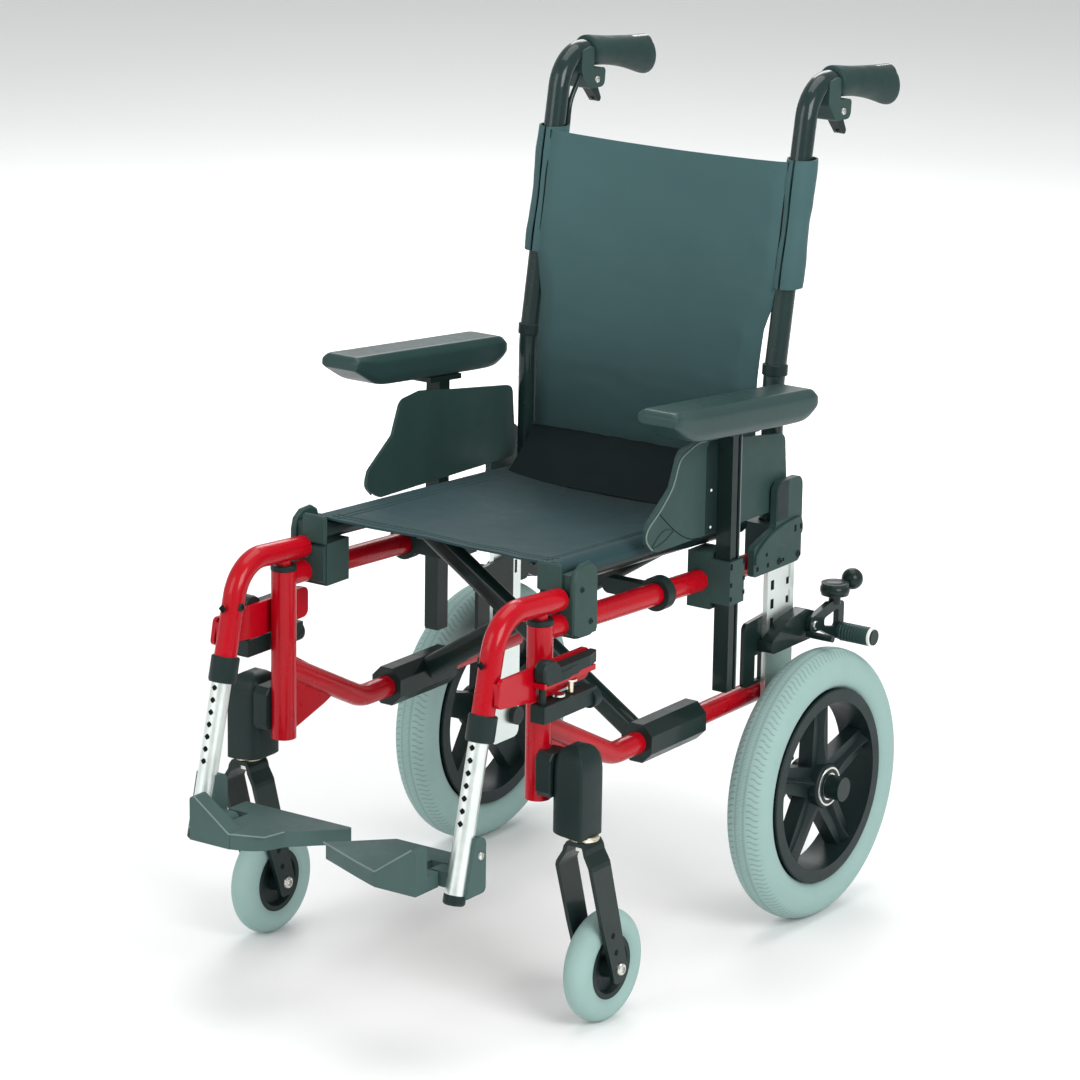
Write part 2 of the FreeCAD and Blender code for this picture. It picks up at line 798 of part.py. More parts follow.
def rear_wheel():
    """A five-spoke moulded wheel: hub, tapered spokes and a flanged rim."""
    half = "hub_w / 2"
    bore = "axle_d / 2 + running_gap"
    hub = [
        (f"-{half}", bore),
        (half, bore),
        (half, "hub_d / 2", "edge_round"),
        (f"-{half}", "hub_d / 2", "edge_round"),
    ]
    body = turned("RearWheel", [hub], "wheel_x", 0, "wheel_r")
    spoke = body.newObject("PartDesign::Pad", "Spoke")
    corners = [
        ("-spoke_root_w / 2", "hub_d / 2 - 3 * spoke_overlap"),
        ("-spoke_tip_w / 2", "rim_r - rim_wall + spoke_overlap"),
        ("spoke_tip_w / 2", "rim_r - rim_wall + spoke_overlap"),
        ("spoke_root_w / 2", "hub_d / 2 - 3 * spoke_overlap"),
    ]
    spoke.Profile = drawn(body, "YZ", corners)
    spoke.SideType = "Symmetric"
    bind(spoke, Length="spoke_t")
    spokes = body.newObject("PartDesign::PolarPattern", "Spokes")
    spokes.Originals = [spoke]
    spokes.Axis = (spoke.Profile[0], ["N_Axis"])
    spokes.Angle = 360
    bind(spokes, Occurrences="spoke_count")
    body.Tip = spokes
    flange = "rim_r + rim_flange"
    rim = [
        ("-rim_w / 2", "rim_r - rim_wall"),
        ("rim_w / 2", "rim_r - rim_wall"),
        ("rim_w / 2", flange, "flange_round"),
        ("rim_w / 2 - rim_lip_t", flange, "flange_round"),
        ("rim_w / 2 - rim_lip_t", "rim_r - seat_gap"),
        ("rim_lip_t - rim_w / 2", "rim_r - seat_gap"),
        ("rim_lip_t - rim_w / 2", flange, "flange_round"),
        ("-rim_w / 2", flange, "flange_round"),
    ]
    turn = body.newObject("PartDesign::Revolution", "Rim")
    turn.Profile = drawn(body, "XZ", rim)
    turn.ReferenceAxis = (turn.Profile[0], ["H_Axis"])
    turn.Angle = 360
    body.Tip = turn
    return body


def tyre(name, x, y, r, d, seat_r):
    """A round solid tyre on a flat rim seat."""
    ring = document.addObject("Part::Torus", name + "Ring")
    bind(ring, Radius1=f"{r} - {d} / 2", Radius2=f"{d} / 2")
    place(ring, x, y, r, (0, 1, 0), 90)
    hole = rod(name + "Seat", f"2 * ({seat_r})", f"{d}", (f"{x} - {d} / 2", y, r), "x")
    return cut(name, ring, hole)


def rear_axle():
    """The fixed rear axle: nut, spacer, shaft and end cap."""
    inner = "upright_inner_x"
    shaft = rod("AxleShaft", "axle_d", f"axle_end_x - 3 - {inner}", (inner, 0, "wheel_r"), "x")
    nut = rod("AxleNut", "axle_nut_d", "axle_nut_t", (f"{inner} - axle_nut_t", 0, "wheel_r"), "x")
    spacer_len = "wheel_x - hub_w / 2 - air_gap - upright_outer_x"
    spacer = rod("AxleSpacer", "axle_nut_d", spacer_len, ("upright_outer_x", 0, "wheel_r"), "x")
    cap_x = "wheel_x + hub_w / 2 + air_gap"
    cap = rod("AxleCap", "axle_cap_d", f"axle_end_x - ({cap_x})", (cap_x, 0, "wheel_r"), "x")
    return join("RearAxle", shaft, nut, spacer, cap)


def castor_housing():
    """The black bearing barrel outboard of the front post, with a dome and the web that hugs the post."""

    def slice_of(name, inset, low, high):
        corners = []
        for x, y in (("barrel", "front"), ("outer", "front"), ("outer", "rear"), ("barrel", "rear")):
            side_x = f"housing_{x}_x {'+' if x == 'barrel' else '-'} {inset}"
            side_y = f"housing_{y}_y {'+' if y == 'front' else '-'} {inset}"
            corners.append((side_x, side_y, "housing_round"))
        return plate(name, "XY", corners, f"{high} - {low}", z=f"({low} + {high}) / 2")

    barrel = slice_of("HousingBarrel", 0, "housing_z", "housing_shoulder_z")
    dome = slice_of("HousingDome", "housing_dome", "(housing_shoulder_z - overrun)", "housing_top_z")
    web = box(
        "HousingWeb",
        ("web_x", "housing_barrel_x + housing_round"),
        ("post_y - web_w / 2", "post_y + web_w / 2"),
        ("web_z", "web_top_z"),
    )
    start = ("frame_x", "post_y", "web_z - overrun")
    hug = rod("PostHug", "post_d + 2 * seat_gap", "web_top_z + 2 * overrun - web_z", start)
    bore = ("castor_x", "castor_stem_y", "housing_z")
    stem = rod("StemBore", "stem_d + 2 * running_gap", "stem_top_z + overrun - housing_z", bore)
    return cut("CastorHousing", join("HousingBlock", barrel, dome, web), hug, stem)


def castor_fork():
    """The castor fork: stem, washer, crown, two cranked blades and the wheel bolt."""
    x = "castor_x"
    stem_y = "castor_stem_y"
    stem = rod("Stem", "stem_d", "stem_top_z - fork_crown_z", (x, stem_y, "fork_crown_z"))
    washer_t = "housing_z - air_gap - fork_crown_top_z"
    washer = rod("StemWasher", "washer_d", washer_t, (x, stem_y, "fork_crown_top_z"))
    half = "fork_x + fork_t / 2"
    crown = box(
        "ForkCrown",
        (f"{x} - ({half})", f"{x} + {half}"),
        (f"{stem_y} - fork_w / 2", f"{stem_y} + fork_w / 2"),
        ("fork_crown_z", "fork_crown_top_z"),
    )
    corners = [
        (f"{stem_y} - fork_w / 2", "fork_crown_top_z", "fine_round"),
        (f"{stem_y} - fork_w / 2", "fork_crown_z - 14", "blade_round"),
        ("castor_y - fork_w / 2 + 2", "castor_r - fork_foot", "soft_round"),
        ("castor_y + fork_w / 2 - 3", "castor_r - fork_foot + 3", "soft_round"),
        (f"{stem_y} + fork_w / 2", "fork_crown_z - 10", "blade_round"),
        (f"{stem_y} + fork_w / 2", "fork_crown_top_z", "fine_round"),
    ]
    blades = []
    for side in ("-", "+"):
        blades.append(plate("ForkBlade", "YZ", corners, "fork_t", f"{x} {side} fork_x"))
    bolt_len = "2 * (fork_x + fork_t / 2 + castor_head_t)"
    end = (f"{x} - {bolt_len} / 2", "castor_y", "castor_r")
    bolt = rod("CastorBolt", "castor_axle_d", bolt_len, end, "x")
    heads = []
    for start in (f"{x} - {bolt_len} / 2", f"{x} + {half}"):
        heads.append(rod("BoltHead", "castor_head_d", "castor_head_t", (start, "castor_y", "castor_r"), "x"))
    return join("CastorFork", stem, washer, crown, *blades, bolt, *heads)


def castor_wheel():
    """The castor's core: hub, dished web and rim in one turning."""
    bore = "castor_axle_d / 2 + running_gap"
    rim = "castor_rim_r - seat_gap"
    half = [
        ("castor_hub_w / 2", bore),
        ("castor_hub_w / 2", "castor_hub_d / 2"),
        ("castor_web_t / 2", "castor_hub_d / 2 + 2"),
        ("castor_web_t / 2", "castor_rim_r - castor_web_edge"),
        ("castor_rim_w / 2", "castor_rim_r - castor_lip"),
        ("castor_rim_w / 2", rim),
    ]
    other = [(f"-({u})", v) for u, v in reversed(half)]
    return turned("CastorWheel", [half + other], "castor_x", "castor_y", "castor_r")


def hanger_tube():
    """The red swing-away hanger: bent tube, pivot pin and the wing that the latch rides on."""
    run = [
        ("hanger_rear_y", "hanger_rear_z"),
        ("hanger_bend_y", "hanger_bend_z", "hanger_bend_r"),
        ("leg_end_y", "leg_end_z"),
    ]
    tube = pipe("HangerBend", run, "tube_d", "frame_x")
    low = "post_top_z - swing_pin_len + air_gap"
    pin = rod("SwingPin", "swing_pin_d", f"hanger_rear_z - ({low})", ("frame_x", "post_y", low))
    leg_y = "leg_end_y + leg_slope * (wing_top_z - leg_end_z)"
    corners = [
        (f"{leg_y} - 12", "wing_z + 8", "small_round"),
        ("latch_pin_y", "wing_z", "soft_round"),
        ("wing_rear_y", "wing_z + 4", "corner_round"),
        ("wing_rear_y", "wing_top_z", "corner_round"),
        (f"{leg_y} - 6", "wing_top_z", "small_round"),
    ]
    wing = plate("Wing", "YZ", corners, "wing_t", "wing_x")
    boss = box(
        "WingBoss",
        ("frame_x + tube_d / 4", "wing_x"),
        (f"{leg_y} - 8", f"{leg_y} + 6"),
        ("wing_z + 12", "wing_top_z - 4"),
    )
    shelf = box(
        "LatchShelf",
        ("wing_x", "latch_x + latch_pin_d"),
        ("latch_pin_y - latch_pin_d", "wing_rear_y - 8"),
        ("latch_top_z - air_gap - shelf_t", "latch_top_z - air_gap"),
    )
    hole = rod("LatchHole", "latch_pin_d + 2 * running_gap", 30, ("latch_x", "latch_pin_y", "wing_z"))
    bore = document.addObject("Part::Cylinder", "LegBore")
    bind(bore, Radius="extension_d / 2 + seat_gap")
    bind(bore, Height="extension_top_z + extension_travel - leg_end_z + 6")
    start_y = "leg_end_y - 2 * leg_slope"
    place(bore, "frame_x", start_y, "leg_end_z - 2", (1, 0, 0), "-leg_angle")
    return cut("HangerTube", join("HangerParts", tube, pin, wing, boss, shelf), hole, bore)


def hanger_latch():
    """The latch: a rounded thumb lever beside the wing and a block under it on one upright pin."""
    inner = "wing_x + wing_t / 2 + air_gap"
    outer = "latch_x + latch_w / 2"
    front = "latch_pin_y - 9"
    corners = [
        (inner, "latch_pin_y - latch_tip_r", "latch_tip_r - 0.5"),
        (outer, "latch_pin_y - latch_tip_r", "latch_tip_r"),
        (outer, "latch_rear_y - 22", 14),
        ("latch_x + 3", "latch_rear_y", "rim_round"),
        (inner, "latch_rear_y", 2),
    ]
    middle = "latch_top_z + latch_top_t / 2"
    lever = plate("LatchLever", "XY", corners, "latch_top_t", z=middle)
    x = ("latch_x - latch_w / 2", outer)
    block = box("LatchBlock", x, (front, "latch_rear_y - 8"), ("latch_foot_z", "latch_foot_top_z"))
    height = "latch_top_z + overrun - latch_foot_z"
    pin = rod("LatchPin", "latch_pin_d", height, ("latch_x", "latch_pin_y", "latch_foot_z"))
    return join("HangerLatch", lever, block, pin)


def leg_station(height):
    """The Y station of the leg's centre line at a height."""
    return f"(leg_end_y + leg_slope * ({height} - leg_end_z))"


def extension_tube():
    """The aluminium leg extension with its row of adjusting holes down the front."""
    run = [
        (leg_station("extension_foot_z"), "extension_foot_z"),
        (leg_station("extension_top_z"), "extension_top_z"),
    ]
    tube = pipe("ExtensionBar", run, "extension_d", "frame_x")
    holes = []
    for n in range(SIZES["hole_count"]):
        z = f"hole_first_z + {n} * hole_pitch"
        start = f"{leg_station(z)} - extension_d / 2 - overrun"
        holes.append(rod("AdjustHole", "hole_d", "extension_d / 2", ("frame_x", start, z), "y"))
    return cut("ExtensionTube", tube, *holes)


def footplate_clamp():
    """The black clamp on the extension, with the lug and pin that the footplate turns on."""
    corners = [
        (leg_station("clamp_z"), "clamp_z"),
        ("clamp_rear_y", "clamp_z", "small_round"),
        ("clamp_rear_y", "clamp_top_z", "medium_round"),
        (leg_station("clamp_top_z"), "clamp_top_z"),
    ]
    middle = "(clamp_inner_x + clamp_outer_x) / 2"
    block = plate("ClampBlock", "YZ", corners, "clamp_outer_x - clamp_inner_x", middle)
    near = "lug_y - lug_w / 2"
    lug = box(
        "HingeLug",
        ("plate_hinge_x", "clamp_inner_x + overrun"),
        (near, "lug_y + lug_w / 2"),
        ("plate_mid_z - lug_d / 2", "plate_mid_z + lug_d / 2"),
    )
    knuckle = rod("HingeKnuckle", "lug_d", "lug_w", ("plate_hinge_x", near, "plate_mid_z"), "y")
    pin_len = "lug_w + 2 * lug_pin_reach"
    pin = rod("HingePin", "hole_d", pin_len, ("plate_hinge_x", f"{near} - lug_pin_reach", "plate_mid_z"), "y")
    run = [
        (leg_station("clamp_z - 4"), "clamp_z - 4"),
        (leg_station("clamp_top_z + 4"), "clamp_top_z + 4"),
    ]
    hole = pipe("ClampHole", run, "extension_d + 2 * seat_gap", "frame_x")
    return join("FootplateClamp", cut("ClampShell", block, hole), lug, knuckle, pin)


def footplate(side):
    """One footplate; the inner edges of the two are parallel and slanted, not mirrored."""
    sign = "" if side == "left" else "-"
    name = side.capitalize()

    def x(text):
        return f"{sign}({text})"

    front = ("plate_tip_front_x", "plate_tip_front_y", "plate_round")
    rear = ("plate_tip_rear_x", "plate_rear_y", "plate_round")
    if side == "right":
        front = ("plate_gap_x - plate_tip_front_x", "plate_tip_front_y", "plate_round")
        rear = ("plate_gap_x - plate_tip_rear_x", "plate_rear_y", "plate_round")
    corners = [
        (x(rear[0]), *rear[1:]),
        (x("plate_outer_x"), "plate_rear_y", 3),
        (x("plate_outer_x"), "-front_reach", 3),
        (x("wall_foot_x"), "-front_reach", 40),
        (x("plate_nose_x"), "plate_nose_y", 40),
        (x(front[0]), *front[1:]),
    ]
    tray = plate(name + "Tray", "XY", corners, "plate_t", z="plate_mid_z")
    rise = [
        (x("wall_foot_x"), "plate_z"),
        (x("wall_foot_x"), "plate_z + plate_t"),
        (x("plate_outer_x"), "wall_top_z", 5),
        (x("plate_outer_x"), "plate_z"),
    ]
    wall = plate(name + "Wall", "XZ", rise, "wall_t", y="wall_t / 2 - front_reach")
    gap = "lug_w / 2 + lug_gap"
    ends = [x("plate_hinge_x - lug_d / 2 - lug_clear"), x("plate_outer_x + overrun")]
    notch = box(
        name + "Notch",
        ends if side == "left" else ends[::-1],
        (f"lug_y - ({gap})", f"lug_y + {gap}"),
        ("plate_z - overrun", "plate_z + plate_t + overrun"),
    )
    pin_len = "lug_w + 2 * lug_pin_reach + 2 * air_gap"
    start = (x("plate_hinge_x"), "lug_y - lug_w / 2 - lug_pin_reach - air_gap", "plate_mid_z")
    hole = rod(name + "PinHole", "hole_d + 2 * running_gap", pin_len, start, "y")
    return cut(name + "Footplate", join(name + "TrayAndWall", tray, wall), notch, hole)


def arm_post():
    """The grooved arm post and the saddle that the pad is screwed to."""
    post = box(
        "ArmBar",
        ("arm_x - arm_w / 2", "arm_x + arm_w / 2"),
        ("arm_y - arm_depth / 2", "arm_y + arm_depth / 2"),
        ("arm_foot_z", "arm_top_z - saddle_t / 2"),
    )
    groove = box(
        "ArmGroove",
        ("arm_x + arm_w / 2 - groove_depth", "arm_x + arm_w / 2 + overrun"),
        ("arm_y + arm_depth / 4 - groove_w / 2", "arm_y + arm_depth / 4 + groove_w / 2"),
        ("arm_foot_z - overrun", "arm_top_z - 2 * saddle_t"),
    )
    corners = []
    for y, drop in (("-", 0), ("+", 0), ("+", 1), ("-", 1)):
        rise = f"arm_top_z - ({y}saddle_len / 2) * pad_rise"
        corners.append((f"arm_y {y} saddle_len / 2", f"{rise} - {drop} * saddle_t"))
    saddle = plate("ArmSaddle", "YZ", corners, "saddle_w", "arm_x + 4")
    return join("ArmPost", cut("GroovedPost", post, groove), saddle)


def side_guard():
    """The moulded side guard and the two bosses that hold it to the post."""
    corners = [
        ("guard_rear_y", "guard_foot_z + 4", "corner_round"),
        ("guard_rear_y - 8", "arm_top_z - 35", "soft_round"),
        ("arm_y + 12", "arm_top_z - 18", "back_round"),
        ("arm_y - 50", "arm_top_z - 8", "medium_round"),
        ("arm_y - 88", "arm_top_z - 12", "lever_round"),
        ("arm_y - 104", "arm_top_z - 50", "medium_round"),
        ("arm_y - 150", "guard_foot_z + 42", "soft_round"),
        ("arm_y - 152", "guard_foot_z + 22", "medium_round"),
        ("arm_y - 128", "guard_foot_z + 8", "wide_round"),
    ]
    panel = plate("GuardPanel", "YZ", corners, "guard_t", "guard_x")
    length = "arm_x - arm_w / 2 - guard_x"
    bosses = []
    for n in range(2):
        start = ("guard_x", "arm_y", f"guard_foot_z + guard_boss_rise + {n} * guard_boss_pitch")
        bosses.append(rod("GuardBoss", "guard_boss_d", length, start, "x"))
    return join("SideGuard", panel, *bosses)


def arm_pad():
    """The padded arm rest, a little higher in front, with a nose that slants down."""

    def under(y):
        return f"pad_under_z - ({y} - arm_y) * pad_rise"

    corners = [
        ("pad_rear_y", under("pad_rear_y"), "corner_round"),
        ("pad_rear_y", f"{under('pad_rear_y')} + pad_t", 12),
        ("pad_front_y + 8", f"{under('pad_front_y')} + pad_t", 12),
        ("pad_front_y", f"{under('pad_front_y')} + 12", 8),
        ("pad_front_y + 28", under("pad_front_y + 28"), "soft_round"),
    ]
    middle = "(pad_inner_x + pad_outer_x) / 2"
    return plate("ArmPad", "YZ", corners, "pad_outer_x - pad_inner_x", middle)


def parking_brake_base():
    """The slotted plate on the upright and the block that the parking lever pivots on."""
    inner = "upright_inner_x"
    corners = [
        ("-brake_plate_front", "brake_plate_z", "small_round"),
        ("-brake_plate_rear", "brake_plate_z", "fine_round"),
        ("-brake_plate_rear", "brake_plate_top_z", "edge_round"),
        ("-brake_plate_front", "brake_plate_top_z - 6", "corner_round"),
    ]
    slotted = plate("BrakePlate", "YZ", corners, "brake_plate_t", f"{inner} - brake_plate_t / 2")
    half = "brake_slot_w / 2"
    slot = box(
        "BrakeSlot",
        (f"{inner} - brake_plate_t - overrun", f"{inner} + overrun"),
        (f"brake_slot_y - {half}", f"brake_slot_y + {half}"),
        ("brake_slot_z - brake_slot_len / 2", "brake_slot_z + brake_slot_len / 2"),
    )
    outline = [
        ("-upright_front - 12", "brake_block_z", "small_round"),
        ("brake_pivot_y + 12", "brake_block_z", "small_round"),
        ("brake_pivot_y + 14", "brake_pivot_z + 12", "corner_round"),
        ("brake_pivot_y - 8", "brake_pivot_z + 20", "corner_round"),
        ("-upright_front + 20", "brake_pivot_z + 14", "broad_round"),
        ("-upright_front - 12", "brake_block_z + 14", "small_round"),
    ]
    block = plate("BrakeBlock", "YZ", outline, "brake_block_w", "brake_block_x")
    start = ("brake_block_x", "brake_pivot_y", "brake_pivot_z")
    pin_len = "brake_lever_x + brake_lever_t / 2 + 3 - brake_block_x"
    pin = rod("BrakePin", "brake_pivot_d", pin_len, start, "x")
    strap = box(
        "BrakeStrap",
        (f"{inner} - brake_plate_t", "upright_outer_x + overrun"),
        ("-upright_front - 11", "-upright_front - air_gap"),
        ("brake_block_z + overrun", "brake_block_z + 13"),
    )
    return join("ParkingBrakeBase", cut("SlottedPlate", slotted, slot), block, strap, pin)


def parking_lever():
    """The parking lever: plate, knob, ball on its rod, cross grip and the shoe bar."""
    x = "brake_lever_x"
    corners = [
        ("brake_pivot_y - 10", "brake_pivot_z - 9", "corner_round"),
        ("brake_pivot_y + 12", "brake_pivot_z - 9", "corner_round"),
        ("brake_grip_y - 6", "brake_grip_z - 8", "small_round"),
        ("brake_grip_y + 8", "brake_grip_z - 8", "small_round"),
        ("brake_grip_y + 8", "brake_knob_z - 14", "small_round"),
        ("brake_knob_y - 14", "brake_knob_z - 10", "corner_round"),
        ("brake_pivot_y - 10", "brake_pivot_z + 9", "corner_round"),
    ]
    web = plate("LeverWeb", "YZ", corners, "brake_lever_t", x)
    gap = [
        ("brake_pivot_y + 21", "brake_pivot_z - 6", "edge_round"),
        ("brake_grip_y - 4", "brake_grip_z + 6", "edge_round"),
        ("brake_grip_y - 4", "brake_knob_z - 20", "edge_round"),
        ("brake_pivot_y + 21", "brake_pivot_z + 3", "edge_round"),
    ]
    window = plate("LeverWindow", "YZ", gap, "brake_lever_t + 2 * overrun", x)
    hole = rod(
        "LeverHole",
        "brake_pivot_d + 2 * running_gap",
        "brake_lever_t + 2 * overrun",
        (f"{x} - brake_lever_t / 2 - overrun", "brake_pivot_y", "brake_pivot_z"),
        "x",
    )
    knob = rod("Knob", "brake_knob_d", "brake_knob_t", (x, "brake_knob_y", "brake_knob_z - edge_round"))
    stalk_foot = (x, "brake_knob_y", "brake_knob_z - edge_round + overrun - brake_stalk_len")
    stalk = rod("KnobStalk", "brake_stalk_d", "brake_stalk_len", stalk_foot)
    grip = rod("LeverGrip", "brake_grip_d", "brake_grip_len", (x, "brake_grip_y", "brake_grip_z"), "x")
    ball = document.addObject("Part::Sphere", "Ball")
    bind(ball, Radius="brake_ball_d / 2")
    place(ball, f"{x} + 6", "brake_ball_y", "brake_ball_z")
    rod_foot = (f"{x} + fine_round", "brake_knob_y", "brake_knob_z + edge_round")
    ball_rod = rod("BallRod", "brake_rod_d", "brake_ball_y - brake_knob_y", rod_foot, "y")
    shoe = rod("ShoeBar", "brake_shoe_d", "brake_shoe_len", (x, "brake_shoe_y", "brake_shoe_z"), "x")
    solid = join("LeverSolid", cut("LeverPlate", web, window), knob, stalk, grip, ball, ball_rod, shoe)
    return cut("ParkingLever", solid, hole)


def oval_bar(name, side, y):
    """A flattened tube from a lower tube to the seat rail on the other side."""
    corners = []
    for u, v in (("-", "-"), ("", "-"), ("", ""), ("-", "")):
        corners.append((f"{u}brace_w / 2", f"{v}brace_h / 2", "brace_w / 2 - 2 * air_gap"))
    bar = plate(name, "YZ", corners, "brace_len")
    middle = f"{side}(frame_x - rail_x) / 2"
    angle = "brace_angle" if side == "" else "-brace_angle"
    return place(bar, middle, y, "(lower_z + rail_z) / 2", (0, 1, 0), angle)


def cross_brace(name, side, y, bore_d):
    """One brace: clevis sleeve on the lower tube, flattened bar and the seat rail on its far end."""
    foot = f"{side}frame_x"
    top = "-rail_x" if side == "" else "rail_x"
    bar = oval_bar(name + "Bar", side, y)
    w = "sleeve_w / 2"
    tall = "sleeve_h / 2"
    slant = "sleeve_chamfer"
    corners = [
        (f"{foot} + {w} - {slant}", f"lower_z - {tall}"),
        (f"{foot} + {w}", f"lower_z - {tall} + {slant}"),
        (f"{foot} + {w}", f"lower_z + {tall} - {slant}"),
        (f"{foot} + {w} - {slant}", f"lower_z + {tall}"),
        (f"{foot} - {w} + {slant}", f"lower_z + {tall}"),
        (f"{foot} - {w}", f"lower_z + {tall} - {slant}"),
        (f"{foot} - {w}", f"lower_z - {tall} + {slant}"),
        (f"{foot} - {w} + {slant}", f"lower_z - {tall}"),
    ]
    middle = "(sleeve_front_y + sleeve_rear_y) / 2"
    length = "sleeve_rear_y - sleeve_front_y"
    sleeve = plate(name + "Sleeve", "XZ", corners, length, y=middle)
    rail = pipe(
        name + "Rail", [("rail_front_y", "rail_front_z"), ("rail_rear_y", "rail_rear_z")], "tube_d", top
    )
    tube_hole = rod(
        name + "TubeHole",
        "tube_d + 2 * running_gap",
        f"{length} + 2 * overrun",
        (foot, "sleeve_front_y - overrun", "lower_z"),
        "y",
    )
    start = (0, f"{y} - brace_w / 2 - overrun", "pivot_z")
    bolt_hole = rod(name + "BoltHole", bore_d, "brace_w + 2 * overrun", start, "y")
    return cut(name, join(name + "Solid", bar, sleeve, rail), tube_hole, bolt_hole)


def brace_pivot_bolt():
    """The bolt through both braces, with the spacer between them."""
    start = "brace_a_y - brace_w / 2 - pivot_head_t"
    length = "brace_b_y - brace_a_y + brace_w + 2 * pivot_head_t + air_gap"
    shaft = rod("PivotShaft", "pivot_d", length, (0, start, "pivot_z"), "y")
    head = rod("PivotHead", "pivot_head_d", "pivot_head_t", (0, start, "pivot_z"), "y")
    spacer = rod(
        "PivotSpacer",
        "pivot_head_d",
        "brace_gap - air_gap",
        (0, "brace_a_y + brace_w / 2", "pivot_z"),
        "y",
    )
    end = (0, "brace_b_y + brace_w / 2 + air_gap", "pivot_z")
    nut = rod("PivotNut", "pivot_head_d - 2", "pivot_head_t", end, "y")
    return join("PivotBolt", shaft, head, spacer, nut)


def spreader_link():
    """The guide link: a collar on the upper tube and an arm that reaches inwards."""
    start = "link_y - link_w / 2"
    collar = rod("LinkCollar", "link_d", "link_w", ("frame_x", start, "link_z"), "y")
    tip_x = "frame_x - link_len"
    arm = box(
        "LinkArm",
        (tip_x, "frame_x"),
        (start, "link_y + link_w / 2"),
        ("link_z - link_tip_d / 2", "link_z + link_tip_d / 2"),
    )
    tip = rod("LinkTip", "link_tip_d", "link_w", (tip_x, start, "link_z"), "y")
    inside = ("frame_x", f"{start} - overrun", "link_z")
    hole = rod("LinkHole", "tube_d + 2 * link_gap", "link_w + 2 * overrun", inside, "y")
    return cut("SpreaderLink", join("LinkSolid", collar, arm, tip), hole)


def seat_sling():
    """The seat's fabric, a flat sheet from rail to rail."""
    lift = "tube_d / 2 + air_gap"
    corners = [
        ("rail_front_y", f"rail_front_z + {lift}"),
        ("rail_rear_y", f"rail_rear_z + {lift}"),
        ("rail_rear_y", f"rail_rear_z + {lift} + sling_t"),
        ("rail_front_y", f"rail_front_z + {lift} + sling_t"),
    ]
    return plate("SeatSling", "YZ", corners, "2 * sling_x")


def back_sling():
    """The back's fabric, a flat sheet in front of the two canes."""
    front = "tube_d / 2 + 3 * air_gap"
    corners = []
    for depth, stations in (("", (0, 1, 2)), (" - sling_t", (2, 1, 0))):
        heights = ("back_foot_z", "cane_bend_z - 6", "back_top_z")
        for n in stations:
            lean = "(back_top_z - cane_bend_z) * cane_lean" if n == 2 else "0"
            corners.append((f"cane_y - ({front}){depth} + {lean}", heights[n]))
    return plate("BackSling", "YZ", corners, "2 * back_x")


pair("side_frame", side_frame())
pair("rear_upright", rear_upright())
pair("rear_bracket", rear_bracket())
pair("front_seat_block", front_seat_block())
pair("rear_seat_block", rear_seat_block())
pair("back_cane", pipe("BackCane", cane_run(), "tube_d", "cane_x"))
pair("push_grip", push_grip())
pair("brake_lever_mount", brake_lever_mount())
pair("hand_brake_lever", hand_brake_lever())
pair("rear_axle", rear_axle())
pair("rear_wheel", rear_wheel())
pair("rear_tyre", tyre("RearTyre", "wheel_x", 0, "wheel_r", "tyre_d", "rim_r"))
pair("castor_housing", castor_housing())
pair("castor_fork", castor_fork())
pair("castor_wheel", castor_wheel())
pair(
    "castor_tyre",
    tyre("CastorTyre", "castor_x", "castor_y", "castor_r", "castor_tyre_d", "castor_rim_r"),
)
pair("hanger_tube", hanger_tube())
pair("hanger_latch", hanger_latch())
pair("extension_tube", extension_tube())
pair("footplate_clamp", footplate_clamp())
pair("arm_post", arm_post())
pair("side_guard", side_guard())
pair("arm_pad", arm_pad())
pair("parking_brake_base", parking_brake_base())
pair("parking_lever", parking_lever())
pair("spreader_link", spreader_link())
node("left_footplate", footplate("left"))
node("right_footplate", footplate("right"))
node("cross_brace_a", cross_brace("BraceA", "", "brace_a_y", "pivot_d + 2 * seat_gap"))
node("cross_brace_b", cross_brace("BraceB", "-", "brace_b_y", "pivot_d + 2 * running_gap"))
node("brace_pivot_bolt", brace_pivot_bolt())
node("seat_sling", seat_sling())
node("back_sling", back_sling())

document.recompute()
for item in document.Objects:
    if {"Invalid", "Error"} & set(item.State):
        raise RuntimeError(f"{item.Label} did not rebuild: {item.State}")
for label, piece in nodes.items():
    if piece.Shape.isNull() or not piece.Shape.isValid():
        raise RuntimeError(f"{label} has no valid shape")
os.makedirs("parts", exist_ok=True)
for label, piece in nodes.items():
    piece.Shape.exportStep(f"parts/{label}.step")
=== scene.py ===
import math

import bpy
from mathutils import Matrix, Vector, noise


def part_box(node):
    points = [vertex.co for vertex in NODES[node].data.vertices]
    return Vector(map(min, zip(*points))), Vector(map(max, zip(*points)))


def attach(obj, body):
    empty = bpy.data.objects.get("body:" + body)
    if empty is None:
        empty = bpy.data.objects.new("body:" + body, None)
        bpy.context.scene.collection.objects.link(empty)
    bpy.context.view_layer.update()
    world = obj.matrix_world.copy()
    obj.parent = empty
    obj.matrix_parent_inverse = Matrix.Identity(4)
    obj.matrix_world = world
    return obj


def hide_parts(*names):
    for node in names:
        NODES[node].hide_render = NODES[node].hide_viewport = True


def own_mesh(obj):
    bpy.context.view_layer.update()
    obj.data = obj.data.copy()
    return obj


# Folding transit wheelchair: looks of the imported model, in metres and in the model's own frame.
# Stations in the calls below are in millimetres, with Y measured from the rear axle, as in the part's sizes.
# Left-hand pieces are made at +X and their right-hand twins at -X.

MM = 0.001
SIDES = (("left", 1), ("right", -1))

